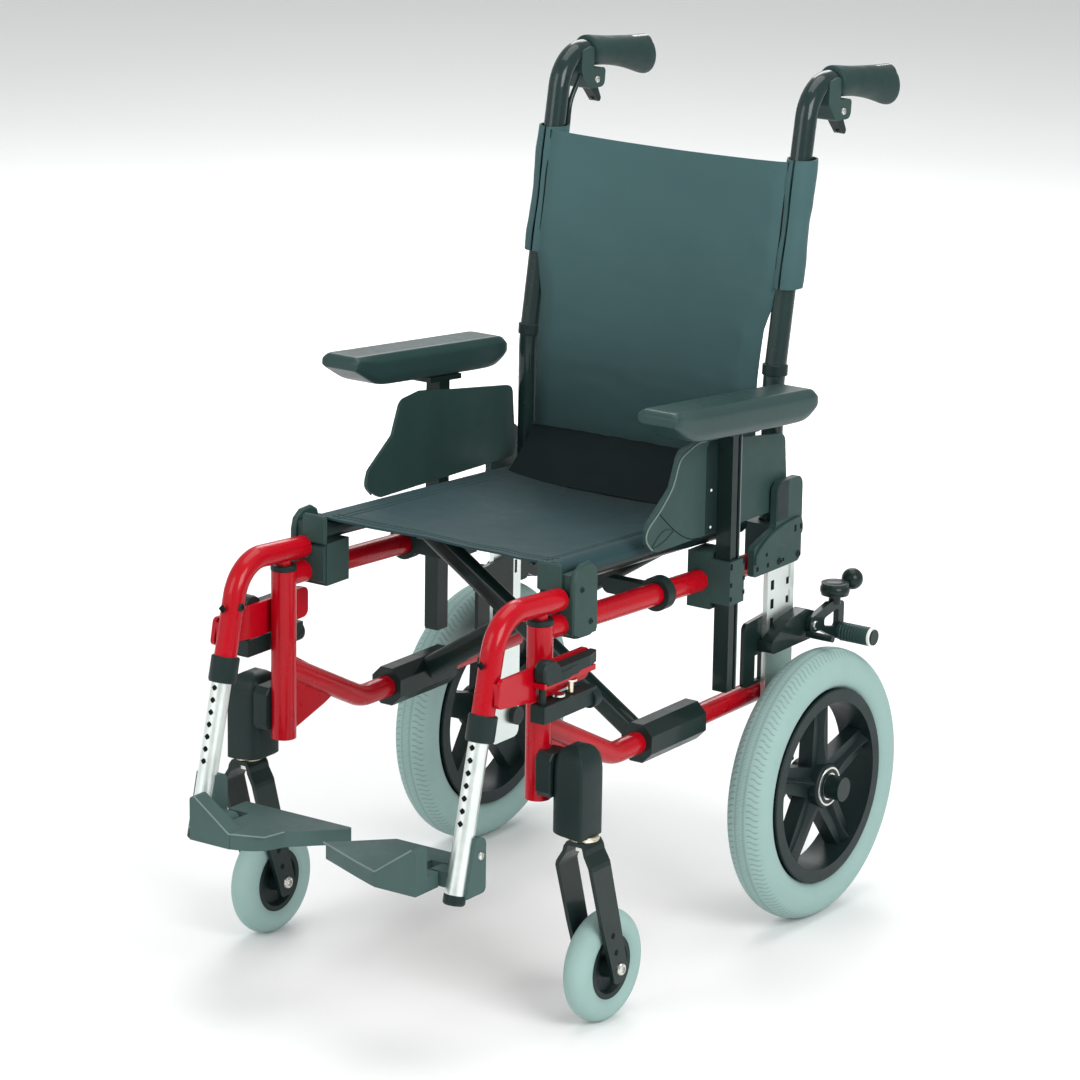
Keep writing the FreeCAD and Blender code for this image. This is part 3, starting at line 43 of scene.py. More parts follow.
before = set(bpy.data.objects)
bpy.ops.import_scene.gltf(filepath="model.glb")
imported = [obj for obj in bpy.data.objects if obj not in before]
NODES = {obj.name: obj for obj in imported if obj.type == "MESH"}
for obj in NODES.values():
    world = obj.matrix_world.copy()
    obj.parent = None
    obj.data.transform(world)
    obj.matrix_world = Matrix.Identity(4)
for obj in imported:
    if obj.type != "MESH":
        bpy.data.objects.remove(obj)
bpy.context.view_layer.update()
AXLE_LOW, AXLE_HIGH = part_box("left_rear_axle")
AXLE_Y = (AXLE_LOW.y + AXLE_HIGH.y) / 2


def at(x, y, z):
    """A point given in millimetres with Y from the rear axle, in the model's frame."""
    return Vector((x * MM, y * MM + AXLE_Y, z * MM))


def station_box(name):
    """The two corners of a frame piece's box, in the stations' millimetres."""
    return [Vector((corner.x, corner.y - AXLE_Y, corner.z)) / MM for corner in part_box(name)]


def centre_of(name):
    """The middle of a frame piece's box, in the stations' millimetres."""
    low, high = station_box(name)
    return (low + high) / 2


# Places shared by several pieces, taken from the left-hand pieces of the frame where it has them.
CANE_X = centre_of("left_back_cane").x
CANE_R = station_box("left_back_cane")[1].x - CANE_X
CANE_FOOT_Y, CANE_BEND_Z, CANE_LEAN = -6, 620, 0.1818
BACK_FOOT_Z, BACK_TOP_Z = (corner.z for corner in station_box("back_sling"))
POCKET_FOOT_Z = 726
SEAT_FRONT_Y, SEAT_REAR_Y = (corner.y for corner in station_box("seat_sling"))
SEAT_HALF = station_box("seat_sling")[1].x
RAIL_R, RAIL_FRONT_Z, RAIL_REAR_Z = 12.5, 484.8, 465.4
RAIL_X = station_box("cross_brace_b")[1].x - RAIL_R
ARM_Y = centre_of("left_arm_post").y
POST_X = centre_of("left_extension_tube").x
CASTOR_X = centre_of("left_castor_fork").x
UPRIGHT_FACE = station_box("left_rear_upright")[1].x
BRACKET_FACE = station_box("left_rear_bracket")[1].x
SLEEVE_FACE = station_box("left_rear_seat_block")[1].x
GUARD_FACE = station_box("left_side_guard")[1].x
SPOKES = 5
CAMERA_AZIMUTH = 34.6


# ---------------------------------------------------------------- materials


class Nodes:
    """Short calls for one material's node tree."""

    def __init__(self, name):
        self.material = bpy.data.materials.new(name)
        self.material.use_nodes = True
        self.tree = self.material.node_tree
        self.shader = self.tree.nodes["Principled BSDF"]
        place = self.tree.nodes.new("ShaderNodeTexCoord")
        self.place = place.outputs["Object"]

    def link(self, start, end):
        self.tree.links.new(start, end)

    def new(self, kind, **values):
        """A node of a kind, with the values of its sockets by name."""
        node = self.tree.nodes.new("ShaderNode" + kind)
        for name, value in values.items():
            node.inputs[name.replace("_", " ")].default_value = value
        return node

    def colour(self, value):
        self.link(value, self.shader.inputs["Base Color"])

    def roughness(self, value):
        self.link(value, self.shader.inputs["Roughness"])

    def scaled(self, scale):
        node = self.new("Mapping", Scale=scale)
        self.link(self.place, node.inputs["Vector"])
        return node.outputs["Vector"]

    def noise(self, scale, detail=3, rough=0.5, vector=None):
        node = self.new("TexNoise", Scale=scale, Detail=detail, Roughness=rough)
        self.link(vector or self.place, node.inputs["Vector"])
        return node.outputs["Fac"]

    def wave(self, scale, axis):
        node = self.new("TexWave", Scale=scale)
        node.bands_direction = axis
        self.link(self.place, node.inputs["Vector"])
        return node.outputs["Fac"]

    def spans(self, value, low, high, to_low, to_high):
        node = self.new("MapRange", From_Min=low, From_Max=high, To_Min=to_low, To_Max=to_high)
        self.link(value, node.inputs["Value"])
        return node.outputs["Result"]

    def math(self, kind, first, second):
        node = self.new("Math")
        node.operation = kind
        for value, socket in ((first, node.inputs[0]), (second, node.inputs[1])):
            if isinstance(value, (int, float)):
                socket.default_value = value
            else:
                self.link(value, socket)
        return node.outputs["Value"]

    def mix(self, factor, first, second):
        node = self.new("Mix")
        node.data_type = "RGBA"
        self.link(factor, node.inputs["Factor"])
        for value, socket in ((first, node.inputs[6]), (second, node.inputs[7])):
            if isinstance(value, tuple):
                socket.default_value = (*value, 1)
            else:
                self.link(value, socket)
        return node.outputs[2]

    def attribute(self, name):
        node = self.new("Attribute")
        node.attribute_name = name
        return node.outputs["Fac"]

    def along(self, axis):
        split = self.new("SeparateXYZ")
        self.link(self.place, split.inputs["Vector"])
        return split.outputs[axis]

    def bump(self, height, strength, depth):
        node = self.new("Bump", Strength=strength, Distance=depth)
        self.link(height, node.inputs["Height"])
        self.link(node.outputs["Normal"], self.shader.inputs["Normal"])

    def set(self, **values):
        for name, value in values.items():
            self.shader.inputs[name.replace("_", " ")].default_value = value


def shade(colour, factor):
    """A colour made lighter or darker by a factor."""
    return tuple(channel * factor for channel in colour)


def painted(name, colour, rough, coat, spread=0.18):
    """Sprayed paint on a tube: slight tone changes, orange peel, fine scuffs and a clear coat."""
    made = Nodes(name)
    broad = made.noise(9, 4)
    tone = made.mix(broad, shade(colour, 1 - spread), shade(colour, 1 + spread))
    scuff = made.spans(made.noise(70, 6, 0.7, made.scaled((1, 3, 1))), 0.66, 0.74, 0, 0.35)
    made.colour(made.mix(scuff, tone, shade(colour, 1.9)))
    uneven = made.spans(made.noise(45, 5, 0.6), 0.3, 0.7, rough * 0.85, rough * 1.3)
    made.roughness(uneven)
    made.bump(made.noise(420, 2), 0.05, 0.0004)
    made.set(Coat_Weight=coat, Coat_Roughness=0.08, Specular_IOR_Level=0.12)
    return made.material


def moulded(name, colour, rough, grain=0.35, grain_scale=900, coat=0.0):
    """Moulded plastic: fine spark grain, faint flow tone and worn, lighter specks."""
    made = Nodes(name)
    flow = made.noise(14, 4, 0.55, made.scaled((1, 1, 0.4)))
    tone = made.mix(flow, shade(colour, 0.78), shade(colour, 1.25))
    speck = made.spans(made.noise(260, 3, 0.6), 0.68, 0.8, 0, 0.4)
    made.colour(made.mix(speck, tone, shade(colour, 2.2)))
    uneven = made.spans(made.noise(60, 5, 0.6), 0.3, 0.7, rough * 0.88, rough * 1.14)
    made.roughness(uneven)
    made.bump(made.noise(grain_scale, 2, 0.4), grain, 0.0003)
    made.set(Coat_Weight=coat, Coat_Roughness=0.25, Specular_IOR_Level=0.2)
    return made.material


def metal(name, colour, rough, stretch=(1, 1, 0.03)):
    """Drawn or plated metal: fine streaks along the bar, with dull patches."""
    made = Nodes(name)
    line = made.noise(900, 4, 0.6, made.scaled(stretch))
    patch = made.noise(30, 5, 0.6)
    made.colour(made.mix(patch, shade(colour, 0.86), shade(colour, 1.08)))
    polish = made.spans(line, 0.3, 0.7, rough * 0.7, rough)
    dull = made.spans(patch, 0.4, 0.7, 0, 0.1)
    made.roughness(made.math("ADD", polish, dull))
    made.bump(line, 0.25, 0.0002)
    made.set(Metallic=1.0)
    return made.material


def woven(name, colour, pitch, painted_shade=None):
    """Coated nylon: a plain weave a little coarser than a thread, soft random tone changes, creases and, if
    asked, painted shade.

    Painted shade, if given, is (axis, from, to, depth): the colour darkens by depth between two places along
    an axis.
    """
    made = Nodes(name)
    across = made.wave(1 / pitch, "X")
    down = made.wave(1 / pitch, "DIAGONAL")
    weave = made.math("MULTIPLY", across, down)
    worn = made.noise(5, 5, 0.6)
    tone = made.mix(worn, shade(colour, 0.8), shade(colour, 1.22))
    # Painted shade: the colour darkens towards one end along an axis, where shade falls on the cloth.
    if painted_shade:
        axis, low, high, depth = painted_shade
        share = made.spans(made.along(axis), low, high, 0, depth)
        tone = made.mix(share, tone, shade(colour, 0.12))
    made.colour(made.mix(weave, tone, shade(colour, 1.35)))
    rough = 0.62
    uneven = made.spans(made.noise(26, 5, 0.65), 0.3, 0.7, rough * 0.86, rough * 1.1)
    made.roughness(uneven)
    crumple = made.noise(55, 5, 0.55)
    made.bump(made.math("ADD", made.math("MULTIPLY", weave, 0.12), crumple), 0.2, 0.0008)
    made.set(Sheen_Weight=0.06, Sheen_Roughness=0.45, Specular_IOR_Level=0.12)
    return made.material


def rubber_tyre(name, colour):
    """Pale non-marking rubber: dusty mottling, and painted shade that darkens the tread's cuts."""
    made = Nodes(name)
    mottle = made.noise(22, 6, 0.65)
    tone = made.mix(mottle, shade(colour, 0.88), shade(colour, 1.08))
    dirt = made.spans(made.noise(120, 6, 0.7), 0.6, 0.78, 0, 0.3)
    dusty = made.mix(dirt, tone, shade(colour, 0.6))
    # Painted shade: the colour darkens in the tread's cuts, by the cut share kept on the tyre's points.
    cut = made.spans(made.attribute("cut"), 0, 1, 0, 0.92)
    made.colour(made.mix(cut, dusty, (0.13, 0.2, 0.2)))
    made.roughness(made.spans(mottle, 0.3, 0.7, 0.5, 0.66))
    made.bump(made.noise(650, 3), 0.2, 0.0003)
    made.set(Specular_IOR_Level=0.2)
    return made.material


def studio_floor(name):
    """Plain pale floor paint, a little uneven."""
    made = Nodes(name)
    broad = made.noise(1.3, 3)
    made.colour(made.mix(broad, (0.9, 0.9, 0.9), (0.94, 0.94, 0.94)))
    made.set(Roughness=0.75)
    return made.material


RED = painted("red_gloss_paint", (0.42, 0.0012, 0.009), 0.28, 0.3)
BLACK = painted("black_satin_paint", (0.008, 0.019, 0.017), 0.34, 0.25, spread=0.3)
CANE_BLACK = painted("cane_gloss_paint", (0.011, 0.027, 0.025), 0.24, 0.5, spread=0.3)
PLASTIC = moulded("black_moulded_plastic", (0.009, 0.021, 0.0195), 0.42)
GREY_PLASTIC = moulded("grey_moulded_plastic", (0.026, 0.057, 0.051), 0.45)
PLATE_PLASTIC = moulded("footplate_plastic", (0.055, 0.1, 0.095), 0.5, grain=0.6, grain_scale=500)
WHEEL_PLASTIC = moulded("wheel_plastic", (0.009, 0.019, 0.0185), 0.4)
ALUMINIUM = metal("brushed_aluminium", (0.82, 0.88, 0.85), 0.42)
STEEL = metal("bright_zinc", (0.74, 0.74, 0.7), 0.3, stretch=(1, 1, 1))
BRASSY = metal("yellow_zinc", (0.8, 0.72, 0.55), 0.35, stretch=(1, 1, 1))
# Painted shade: the seat's nylon darkens towards its rear.
SEAT_NYLON = woven("seat_nylon", (0.019, 0.046, 0.052), 0.0011, painted_shade=("Y", 0.0, 0.15, 0.85))
# Painted light: the back's nylon is a lighter copy of the seat's for the light falling on the back, and it
# darkens towards its foot as painted shade.
LIT_BACK_NYLON = woven("back_nylon_lit_copy", (0.047, 0.098, 0.102), 0.0011, painted_shade=("Z", 0.78, 0.53, 0.8))
# Partly painted shade: the flap's own dark cloth, made darker still for the shadow where the back meets the
# seat.
APRON_NYLON_AND_SHADE = woven("apron_nylon_and_shade", (0.003, 0.008, 0.009), 0.0011)
SKIN = moulded("arm_pad_skin", (0.022, 0.05, 0.048), 0.34, grain=0.5, grain_scale=620, coat=0.1)
RUBBER = moulded("grip_rubber_skin", (0.018, 0.042, 0.038), 0.58, grain=0.7, grain_scale=700)
TYRE = rubber_tyre("grey_tyre_rubber", (0.3, 0.44, 0.415))
HOLE = moulded("hole_shadow", (0.002, 0.004, 0.004), 0.8)
WHITE_CAP = moulded("white_cap", (0.75, 0.78, 0.74), 0.4)
# Painted highlight: a pale line for light along rounded edges of dark plastic.
EDGE_HIGHLIGHT = moulded("painted_edge_highlight", (0.16, 0.22, 0.21), 0.35)
THREAD = woven("seam_thread", (0.03, 0.06, 0.06), 0.0006)

# The kinds of the frame's pieces that each material is for.
KINDS = {
    RED: "side_frame hanger_tube",
    BLACK: "castor_fork rear_axle arm_post cross_brace_a cross_brace_b"
    " parking_brake_base parking_lever hand_brake_lever",
    CANE_BLACK: "back_cane",
    ALUMINIUM: "rear_upright extension_tube",
    STEEL: "brace_pivot_bolt",
    PLASTIC: "castor_housing hanger_latch spreader_link",
    GREY_PLASTIC: "rear_bracket front_seat_block rear_seat_block brake_lever_mount side_guard",
    PLATE_PLASTIC: "footplate_clamp footplate",
    WHEEL_PLASTIC: "castor_wheel rear_wheel",
    TYRE: "castor_tyre rear_tyre",
    SKIN: "arm_pad",
    RUBBER: "push_grip",
    SEAT_NYLON: "seat_sling",
    LIT_BACK_NYLON: "back_sling",
}


def finish_nodes():
    """Every piece of the frame gets its procedural material in place of the flat one."""
    materials = {kind: material for material, kinds in KINDS.items() for kind in kinds.split()}
    for name, piece in NODES.items():
        kind = name.split("_", 1)[1] if name.startswith(("left_", "right_")) else name
        for slot in piece.material_slots:
            slot.material = materials[kind]


# ---------------------------------------------------------------- mesh tools


def piece(name, points, faces, material, body, slot, angle=40):
    """A mesh piece that rides on a body; edges sharper than the angle stay sharp."""
    mesh = bpy.data.meshes.new(name)
    mesh.from_pydata([tuple(p) for p in points], [], faces)
    mesh.validate()
    mesh.update()
    mesh.shade_smooth()
    mesh.set_sharp_from_angle(angle=math.radians(angle))
    made = bpy.data.objects.new(name, mesh)
    bpy.context.scene.collection.objects.link(made)
    made.data.materials.append(material)
    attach(made, body)
    return made


def loft_faces(rings, count, closed=False, capped=True):
    """Quads between successive rings of the same number of points, with end caps."""
    faces = []
    last = rings if closed else rings - 1
    for i in range(last):
        for j in range(count):
            a, b = i * count, (i + 1) % rings * count
            k = (j + 1) % count
            faces.append((a + j, a + k, b + k, b + j))
    if capped and not closed:
        faces.append(tuple(reversed(range(count))))
        faces.append(tuple(range((rings - 1) * count, rings * count)))
    return faces


def frame_of(direction):
    """Two unit vectors across a direction."""
    ahead = direction.normalized()
    side = Vector((0, 0, 1)).cross(ahead)
    if side.length < 0.05:
        side = Vector((1, 0, 0))
    side.normalize()
    return side, ahead.cross(side)


def turned(name, profile, start, axis, material, body, slot, count=32, angle=35):
    """A solid of revolution: profile is (distance along the axis, radius) in millimetres."""
    side, up = frame_of(Vector(axis))
    ahead = Vector(axis).normalized()
    points = []
    for along, radius in profile:
        for j in range(count):
            turn = 2 * math.pi * j / count
            across = side * math.cos(turn) + up * math.sin(turn)
            points.append(start + ahead * along * MM + across * radius * MM)
    faces = loft_faces(len(profile), count)
    return piece(name, points, faces, material, body, slot, angle)


def screw(name, start, axis, radius, material, body, slot="steel"):
    """A button-head screw with a chamfered rim and a hexagon socket."""
    profile = [
        (-0.4, radius),
        (radius * 0.18, radius),
        (radius * 0.42, radius * 0.86),
        (radius * 0.55, radius * 0.55),
        (radius * 0.55, radius * 0.46),
        (radius * 0.12, radius * 0.42),
    ]
    return turned(name, profile, start, axis, material, body, slot, count=24)


def smooth_line(points, steps=8):
    """A Catmull-Rom line through points."""
    line = []
    whole = [points[0] * 2 - points[1], *points, points[-1] * 2 - points[-2]]
    for i in range(1, len(whole) - 2):
        a, b, c, d = whole[i - 1 : i + 3]
        for k in range(steps):
            t = k / steps
            curve = (a * 2 - b * 5 + c * 4 - d) * t * t + (b * 3 - a - c * 3 + d) * t**3
            line.append((b * 2 + (c - a) * t + curve) / 2)
    line.append(points[-1])
    return line


def smooth_outline(outline, steps):
    """A closed (y, z) outline drawn smoothly through its points."""
    line = smooth_line([Vector((y, z, 0)) for y, z in outline + outline[:1]], steps)[:-1]
    return [(spot.x, spot.y) for spot in line]


def tube(name, points, radius, material, body, slot, count, steps):
    """A round bar along a smooth line."""
    line = smooth_line(points, steps)
    made = []
    up = None
    last = len(line) - 1
    for i, p in enumerate(line):
        ahead = (line[min(i + 1, last)] - line[max(i - 1, 0)]).normalized()
        if up is None:
            side, up = frame_of(ahead)
        side = up.cross(ahead).normalized()
        up = ahead.cross(side)
        for j in range(count):
            turn = 2 * math.pi * j / count
            made.append(p + (side * math.cos(turn) + up * math.sin(turn)) * radius * MM)
    return piece(name, made, loft_faces(len(line), count), material, body, slot, 50)


def rounded_section(width, height, corner, count):
    """Points of a rounded rectangle round the origin, in millimetres."""
    points = []
    corners = ((1, 1, 0), (-1, 1, 90), (-1, -1, 180), (1, -1, 270))
    for sx, sy, start in corners:
        cx, cy = sx * (width / 2 - corner), sy * (height / 2 - corner)
        for k in range(count + 1):
            turn = math.radians(start + 90 * k / count)
            points.append((cx + corner * math.cos(turn), cy + corner * math.sin(turn)))
    return points


def block(name, low, high, corner, material, body, slot, bevel):
    """A moulded block between two corners, round in plan, with bevelled top and foot."""
    centre = (low + high) / 2
    size = (high - low) / MM
    rings = []
    for z, inset in ((0, bevel), (bevel, 0), (size.z - bevel, 0), (size.z, bevel)):
        section = rounded_section(size.x - 2 * inset, size.y - 2 * inset, max(corner - inset, 0.4), 5)
        rings += [Vector((centre.x + x * MM, centre.y + y * MM, low.z + z * MM)) for x, y in section]
    return piece(name, rings, loft_faces(4, len(rings) // 4), material, body, slot, 30)


def flat_shape(name, outline, x, thick, material, body, slot, angle=30, bevel=0.6):
    """A plate in the YZ plane: the outline is (y, z) in millimetres, x its middle."""
    count = len(outline)
    middle = Vector((sum(p[0] for p in outline) / count, sum(p[1] for p in outline) / count))
    half = thick / 2
    rings = []
    for shift, inset in ((-half, bevel), (-half + bevel, 0), (half - bevel, 0), (half, bevel)):
        for y, z in outline:
            toward = (middle - Vector((y, z))).normalized() * inset
            rings.append(at(x + shift, y + toward.x, z + toward.y))
    return piece(name, rings, loft_faces(4, count), material, body, slot, angle)


def mark(name, y, z, wide, tall, x, body, slot, thick=0.5, material=HOLE, bevel=0.1):
    """A thin rectangle on a side face, from its low front corner."""
    outline = [(y, z), (y + wide, z), (y + wide, z + tall), (y, z + tall)]
    return flat_shape(name, outline, x, thick, material, body, slot, bevel=bevel)


def closed_sheet(name, surface, columns, rows, thick, material, body, slot):
    """A cloth with a thickness: surface(u, v) gives a point for u and v from 0 to 1."""
    grid = [[surface(i / columns, j / rows) for i in range(columns + 1)] for j in range(rows + 1)]
    points, under = [], []
    for j in range(rows + 1):
        for i in range(columns + 1):
            across = grid[j][min(i + 1, columns)] - grid[j][max(i - 1, 0)]
            down = grid[min(j + 1, rows)][i] - grid[max(j - 1, 0)][i]
            normal = across.cross(down).normalized()
            points.append(grid[j][i] + normal * thick * MM / 2)
            under.append(grid[j][i] - normal * thick * MM / 2)
    wide, total = columns + 1, len(points)
    faces = []
    for j in range(rows):
        for i in range(columns):
            a = j * wide + i
            faces.append((a, a + wide, a + wide + 1, a + 1))
            faces.append((total + a, total + a + 1, total + a + wide + 1, total + a + wide))
    rim = list(range(wide))
    rim += [j * wide + columns for j in range(1, rows + 1)]
    rim += [rows * wide + i for i in range(columns - 1, -1, -1)]
    rim += [j * wide for j in range(rows - 1, 0, -1)]
    for k, a in enumerate(rim):
        b = rim[(k + 1) % len(rim)]
        faces.append((a, b, total + b, total + a))
    return piece(name, points + under, faces, material, body, slot, 60)


def subdivide(made):
    """Two levels of subdivision, for a piece that is round all over."""
    smooth = made.modifiers.new("smooth", "SUBSURF")
    smooth.levels = smooth.render_levels = 2


def ripple(x, y, scale, seed):
    """Smooth noise from -1 to 1 over a surface; each seed gives its own."""
    return noise.noise(Vector((x * scale, y * scale, seed)))


# ---------------------------------------------------------------- tyres and wheels


def tread_cut(lap, lateral):
    """How deep the tread is cut, from 0 to 1, at a lap of the pattern and a place across the tyre."""
    reach = abs(lateral)
    shoulder_from, shoulder_to, run_out, half_cut = 0.3, 0.78, 0.05, 0.13
    crown, half_zigzag = 0.14, 0.12
    groove_at, half_groove = 0.18, 0.02
    bend = 0.16 * math.sin(2 * math.pi * (reach - shoulder_from) / 0.5) - 0.9 * reach
    off = abs((lap + bend + (0.5 if lateral < 0 else 0)) % 1 - 0.5)
    cut = 0
    if shoulder_from < reach < shoulder_to:
        edge = min(1, (reach - shoulder_from) / run_out, (shoulder_to - reach) / run_out)
        cut = max(0, 1 - off / half_cut) * edge
    if reach < crown:
        zigzag = abs((lap * 2 + 6 * lateral) % 1 - 0.5)
        cut = max(cut, 0.8 * max(0, 1 - zigzag / half_zigzag))
    return max(cut, 0.75 * max(0, 1 - abs(reach - groove_at) / half_groove))


def rear_tyre(side):
    """A grey tyre with S-shaped cuts on its shoulders and short zigzags on its crown."""
    low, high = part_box(f"{side}_rear_tyre")
    centre = (low + high) / 2
    half, outer, inner = (high.x - low.x) / 2, (high.z - low.z) / 2, 0.109
    tall = (outer - inner) / 2
    middle = inner + tall
    steps, around, cuts = 1440, 72, 132
    cut_depth, line_depth = 0.9 * MM, 0.3 * MM
    points, marks = [], []
    for i in range(steps):
        turn = 2 * math.pi * i / steps
        radial = Vector((0, math.cos(turn), math.sin(turn)))
        for j in range(around):
            angle = 2 * math.pi * j / around
            lateral, rise = math.cos(angle), math.sin(angle)
            cut = tread_cut(i * cuts / steps, lateral) if rise > 0 else 0.0
            wall_line = max(0, 1 - abs(rise - 0.05) / 0.035) if abs(lateral) > 0.5 else 0
            depth = cut_depth * cut + line_depth * wall_line
            away = middle + tall * rise - depth * max(rise, 0)
            flank = math.copysign(abs(lateral) ** 0.9, lateral)
            x = centre.x + half * flank - math.copysign(depth, lateral) * abs(lateral)
            points.append(Vector((x, centre.y, centre.z)) + radial * away)
            marks.append(min(1, cut))
    faces = loft_faces(steps, around, closed=True)
    made = piece(f"{side}_rear_tyre_tread", points, faces, TYRE, f"{side}_wheel", "grey_tyre", 80)
    # The cut share on the points carries the painted shade in the tread's cuts.
    depths = made.data.attributes.new("cut", "FLOAT", "POINT")
    depths.data.foreach_set("value", marks)
    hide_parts(f"{side}_rear_tyre")


def spoke_ridge(side, s, k, centre):
    """The raised ridge along one spoke, wide at the hub and the rim and slim between."""
    turn = 2 * math.pi * k / SPOKES + math.radians(90)
    ahead = Vector((0, math.cos(turn), math.sin(turn)))
    across = Vector((0, -math.sin(turn), math.cos(turn)))
    foot, rings = 8, 11
    points = []
    for i in range(rings):
        t = i / (rings - 1)
        away = 20 + 80 * t
        half = 8.5 - 4.5 * math.sin(math.pi * t) ** 0.8
        crest = 14.5 + 5.5 * (2 * t - 1) ** 2 - 1.5 * t
        section = [(-1, foot), (-0.22, crest - 0.8), (-0.1, crest)]
        section += [(-shift, rise) for shift, rise in reversed(section)]
        for shift, rise in section:
            spot = centre + (ahead * away + across * half * shift) * MM
            spot.x += s * rise * MM
            points.append(spot)
    faces = loft_faces(rings, len(section))
    piece(f"{side}_spoke_ridge_{k}", points, faces, WHEEL_PLASTIC, f"{side}_wheel", "black_plastic", 24)


def wheel_details(side, s):
    """Ribs along the spokes, the hub's face rings and the valve."""
    body = f"{side}_wheel"
    low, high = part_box(f"{side}_rear_wheel")
    centre = (low + high) / 2
    for k in range(SPOKES):
        spoke_ridge(side, s, k, centre)
    hub = centre + Vector((s * 21.5, 0, 0)) * MM
    ring = [(-2, 21), (1.2, 21), (2.4, 19.8), (2.4, 16), (0.2, 15.6), (0.2, 13.5)]
    turned(f"{side}_hub_ring", ring, hub, (s, 0, 0), WHEEL_PLASTIC, body, "black_plastic", 48)
    bright = [(0, 22.4), (0.8, 22.8), (1.8, 22.4), (1.8, 21.4)]
    turned(f"{side}_hub_edge", bright, hub, (s, 0, 0), STEEL, body, "steel", 48)
    well_r, valve_turn = 98.5, 0.9
    outward = Vector((0, -math.sin(valve_turn), math.cos(valve_turn)))
    valve = centre + (Vector((s * 6, 0, 0)) + outward * well_r * (1 - 0.02)) * MM
    stem = [(0, 3), (4, 3), (4.4, 2.2), (17, 2.2), (17.4, 2.9), (24, 2.9), (25, 2)]
    turned(f"{side}_valve", stem, valve, -outward, HOLE, body, "black_plastic", 16)


# ---------------------------------------------------------------- castors


def castor_housing(side, s):
    """The bearing housing with its sloped foot and domed top, and the web that joins it to the post."""
    body = f"{side}_frame"
    low, high = station_box("left_castor_housing")
    inner_x, outer_x, front, rear = low.x + 18, high.x, low.y + 2, high.y
    corners = (
        (outer_x, rear, 12, 0),
        (inner_x, rear, 12, 90),
        (inner_x, front, 14, 180),
        (outer_x, front, 3, 270),
    )
    per_corner, foot_slope = 6, 0.09
    levels = ((223, 3), (225, 0), (296, 0), (304, 1.2), (311, 4), (316, 8), (319, 13), (320, 18))
    rings = []
    for z, inset in levels:
        slope = foot_slope if z < 300 else 0
        for x, y, corner, start in corners:
            mx, my = (1 if x == outer_x else -1), (1 if y == rear else -1)
            radius = max(corner - inset, 1)
            for k in range(per_corner):
                turn = math.radians(start + 90 * k / (per_corner - 1))
                px = x - mx * (inset + radius) + radius * math.cos(turn)
                py = y - my * (inset + radius) + radius * math.sin(turn)
                rings.append(at(s * px, py, z - slope * (px - inner_x)))
    faces = loft_faces(len(levels), per_corner * len(corners))
    barrel = piece(f"{side}_housing_barrel", rings, faces, PLASTIC, body, "black_plastic", 32)
    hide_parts(f"{side}_castor_housing")
    web = [(-484, 268), (-480, 262), (-450, 262), (-446, 268)]
    web += [(-446, 304), (-452, 311), (-478, 311), (-484, 304)]
    flat_shape(f"{side}_housing_web", web, s * 189.5, 19, PLASTIC, body, "black_plastic", bevel=1.2)


def fork_strap(side, s):
    """The fork as one bent strap: up one blade, over the crown and down the other."""
    half_thick = 2.4
    # Each station: X from the blade's middle, Z, and Y of its front and rear edges.
    blade = [(21.5, 47, -426, -412), (21.5, 51, -430, -408), (21.5, 62, -433, -404.5)]
    blade += [(21.5, 120, -454, -421), (21.5, 188, -476, -441), (20.5, 192, -476, -441)]
    blade += [(x, z, -475, -441) for x, z in ((13.5, 204), (12, 210), (9.5, 214.2), (0, 214.6))]
    path = blade + [(-x, z, front, rear) for x, z, front, rear in reversed(blade[:-1])]
    points = []
    for i, (x, z, front, rear) in enumerate(path):
        before, after = path[max(i - 1, 0)], path[min(i + 1, len(path) - 1)]
        run = Vector((after[0] - before[0], after[1] - before[1])).normalized()
        out = Vector((run.y, -run.x)) * half_thick
        for y, way in ((front, -1), (rear, -1), (rear, 1), (front, 1)):
            points.append(at(s * CASTOR_X + x + out.x * way, y, z + out.y * way))
    faces = loft_faces(len(path), 4)
    fork = piece(f"{side}_fork_strap", points, faces, BLACK, f"{side}_castor", "black_paint", 12)
    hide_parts(f"{side}_castor_fork")


def castor_details(side, s):
    """The housing and the fork with its bolts, washer and nut, and the core's dishes."""
    low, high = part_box(f"{side}_castor_wheel")
    centre = (low + high) / 2
    body = f"{side}_castor"
    castor_housing(side, s)
    fork_strap(side, s)
    for way in (-1, 1):
        start = centre + Vector((way * 23.6, 0, 0)) * MM
        screw(f"{side}_castor_axle_{way + 1}", start, (way, 0, 0), 7, STEEL, body)
        for k, (y, z) in enumerate(((-427, 84), (-434, 105))):
            well = [(0, 3.4), (0.3, 3.4), (0.35, 2.6)]
            start = at(s * CASTOR_X + way * 23.8, y, z)
            name = f"{side}_castor_hole_{way + 1}_{k}"
            turned(name, well, start, (way, 0, 0), HOLE, body, "black_plastic", 20)
    axle = [(0, 4), (47, 4)]
    start = centre - Vector((23.5, 0, 0)) * MM
    turned(f"{side}_castor_bolt", axle, start, (1, 0, 0), STEEL, body, "steel", 20)
    stem_y = -458
    ring = [(0, 16.6), (1, 17), (2, 16.4), (3.2, 16.4), (4.6, 15.2)]
    turned(f"{side}_castor_washer", ring, at(s * CASTOR_X, stem_y, 217), (0, 0, 1), BRASSY, body, "steel", 48)
    nut = [(0, 9.2), (5, 9.2), (6.2, 8)]
    turned(f"{side}_castor_nut", nut, at(s * CASTOR_X, stem_y, 204.5), (0, 0, 1), STEEL, body, "steel", 6, 20)
    dish = [(0, 5.4), (1.0, 5.2), (1.0, 4.0), (0.2, 3.6)]
    dish_ring, roller = 20.5, f"{side}_castor_roller"
    for k in range(5):
        turn = 2 * math.pi * k / 5 + 0.4
        spot = centre + Vector((s * 4.2, dish_ring * math.cos(turn), dish_ring * math.sin(turn))) * MM
        turned(f"{side}_castor_dish_{k}", dish, spot, (s, 0, 0), WHEEL_PLASTIC, roller, "black_plastic", 20)


# ---------------------------------------------------------------- upholstery


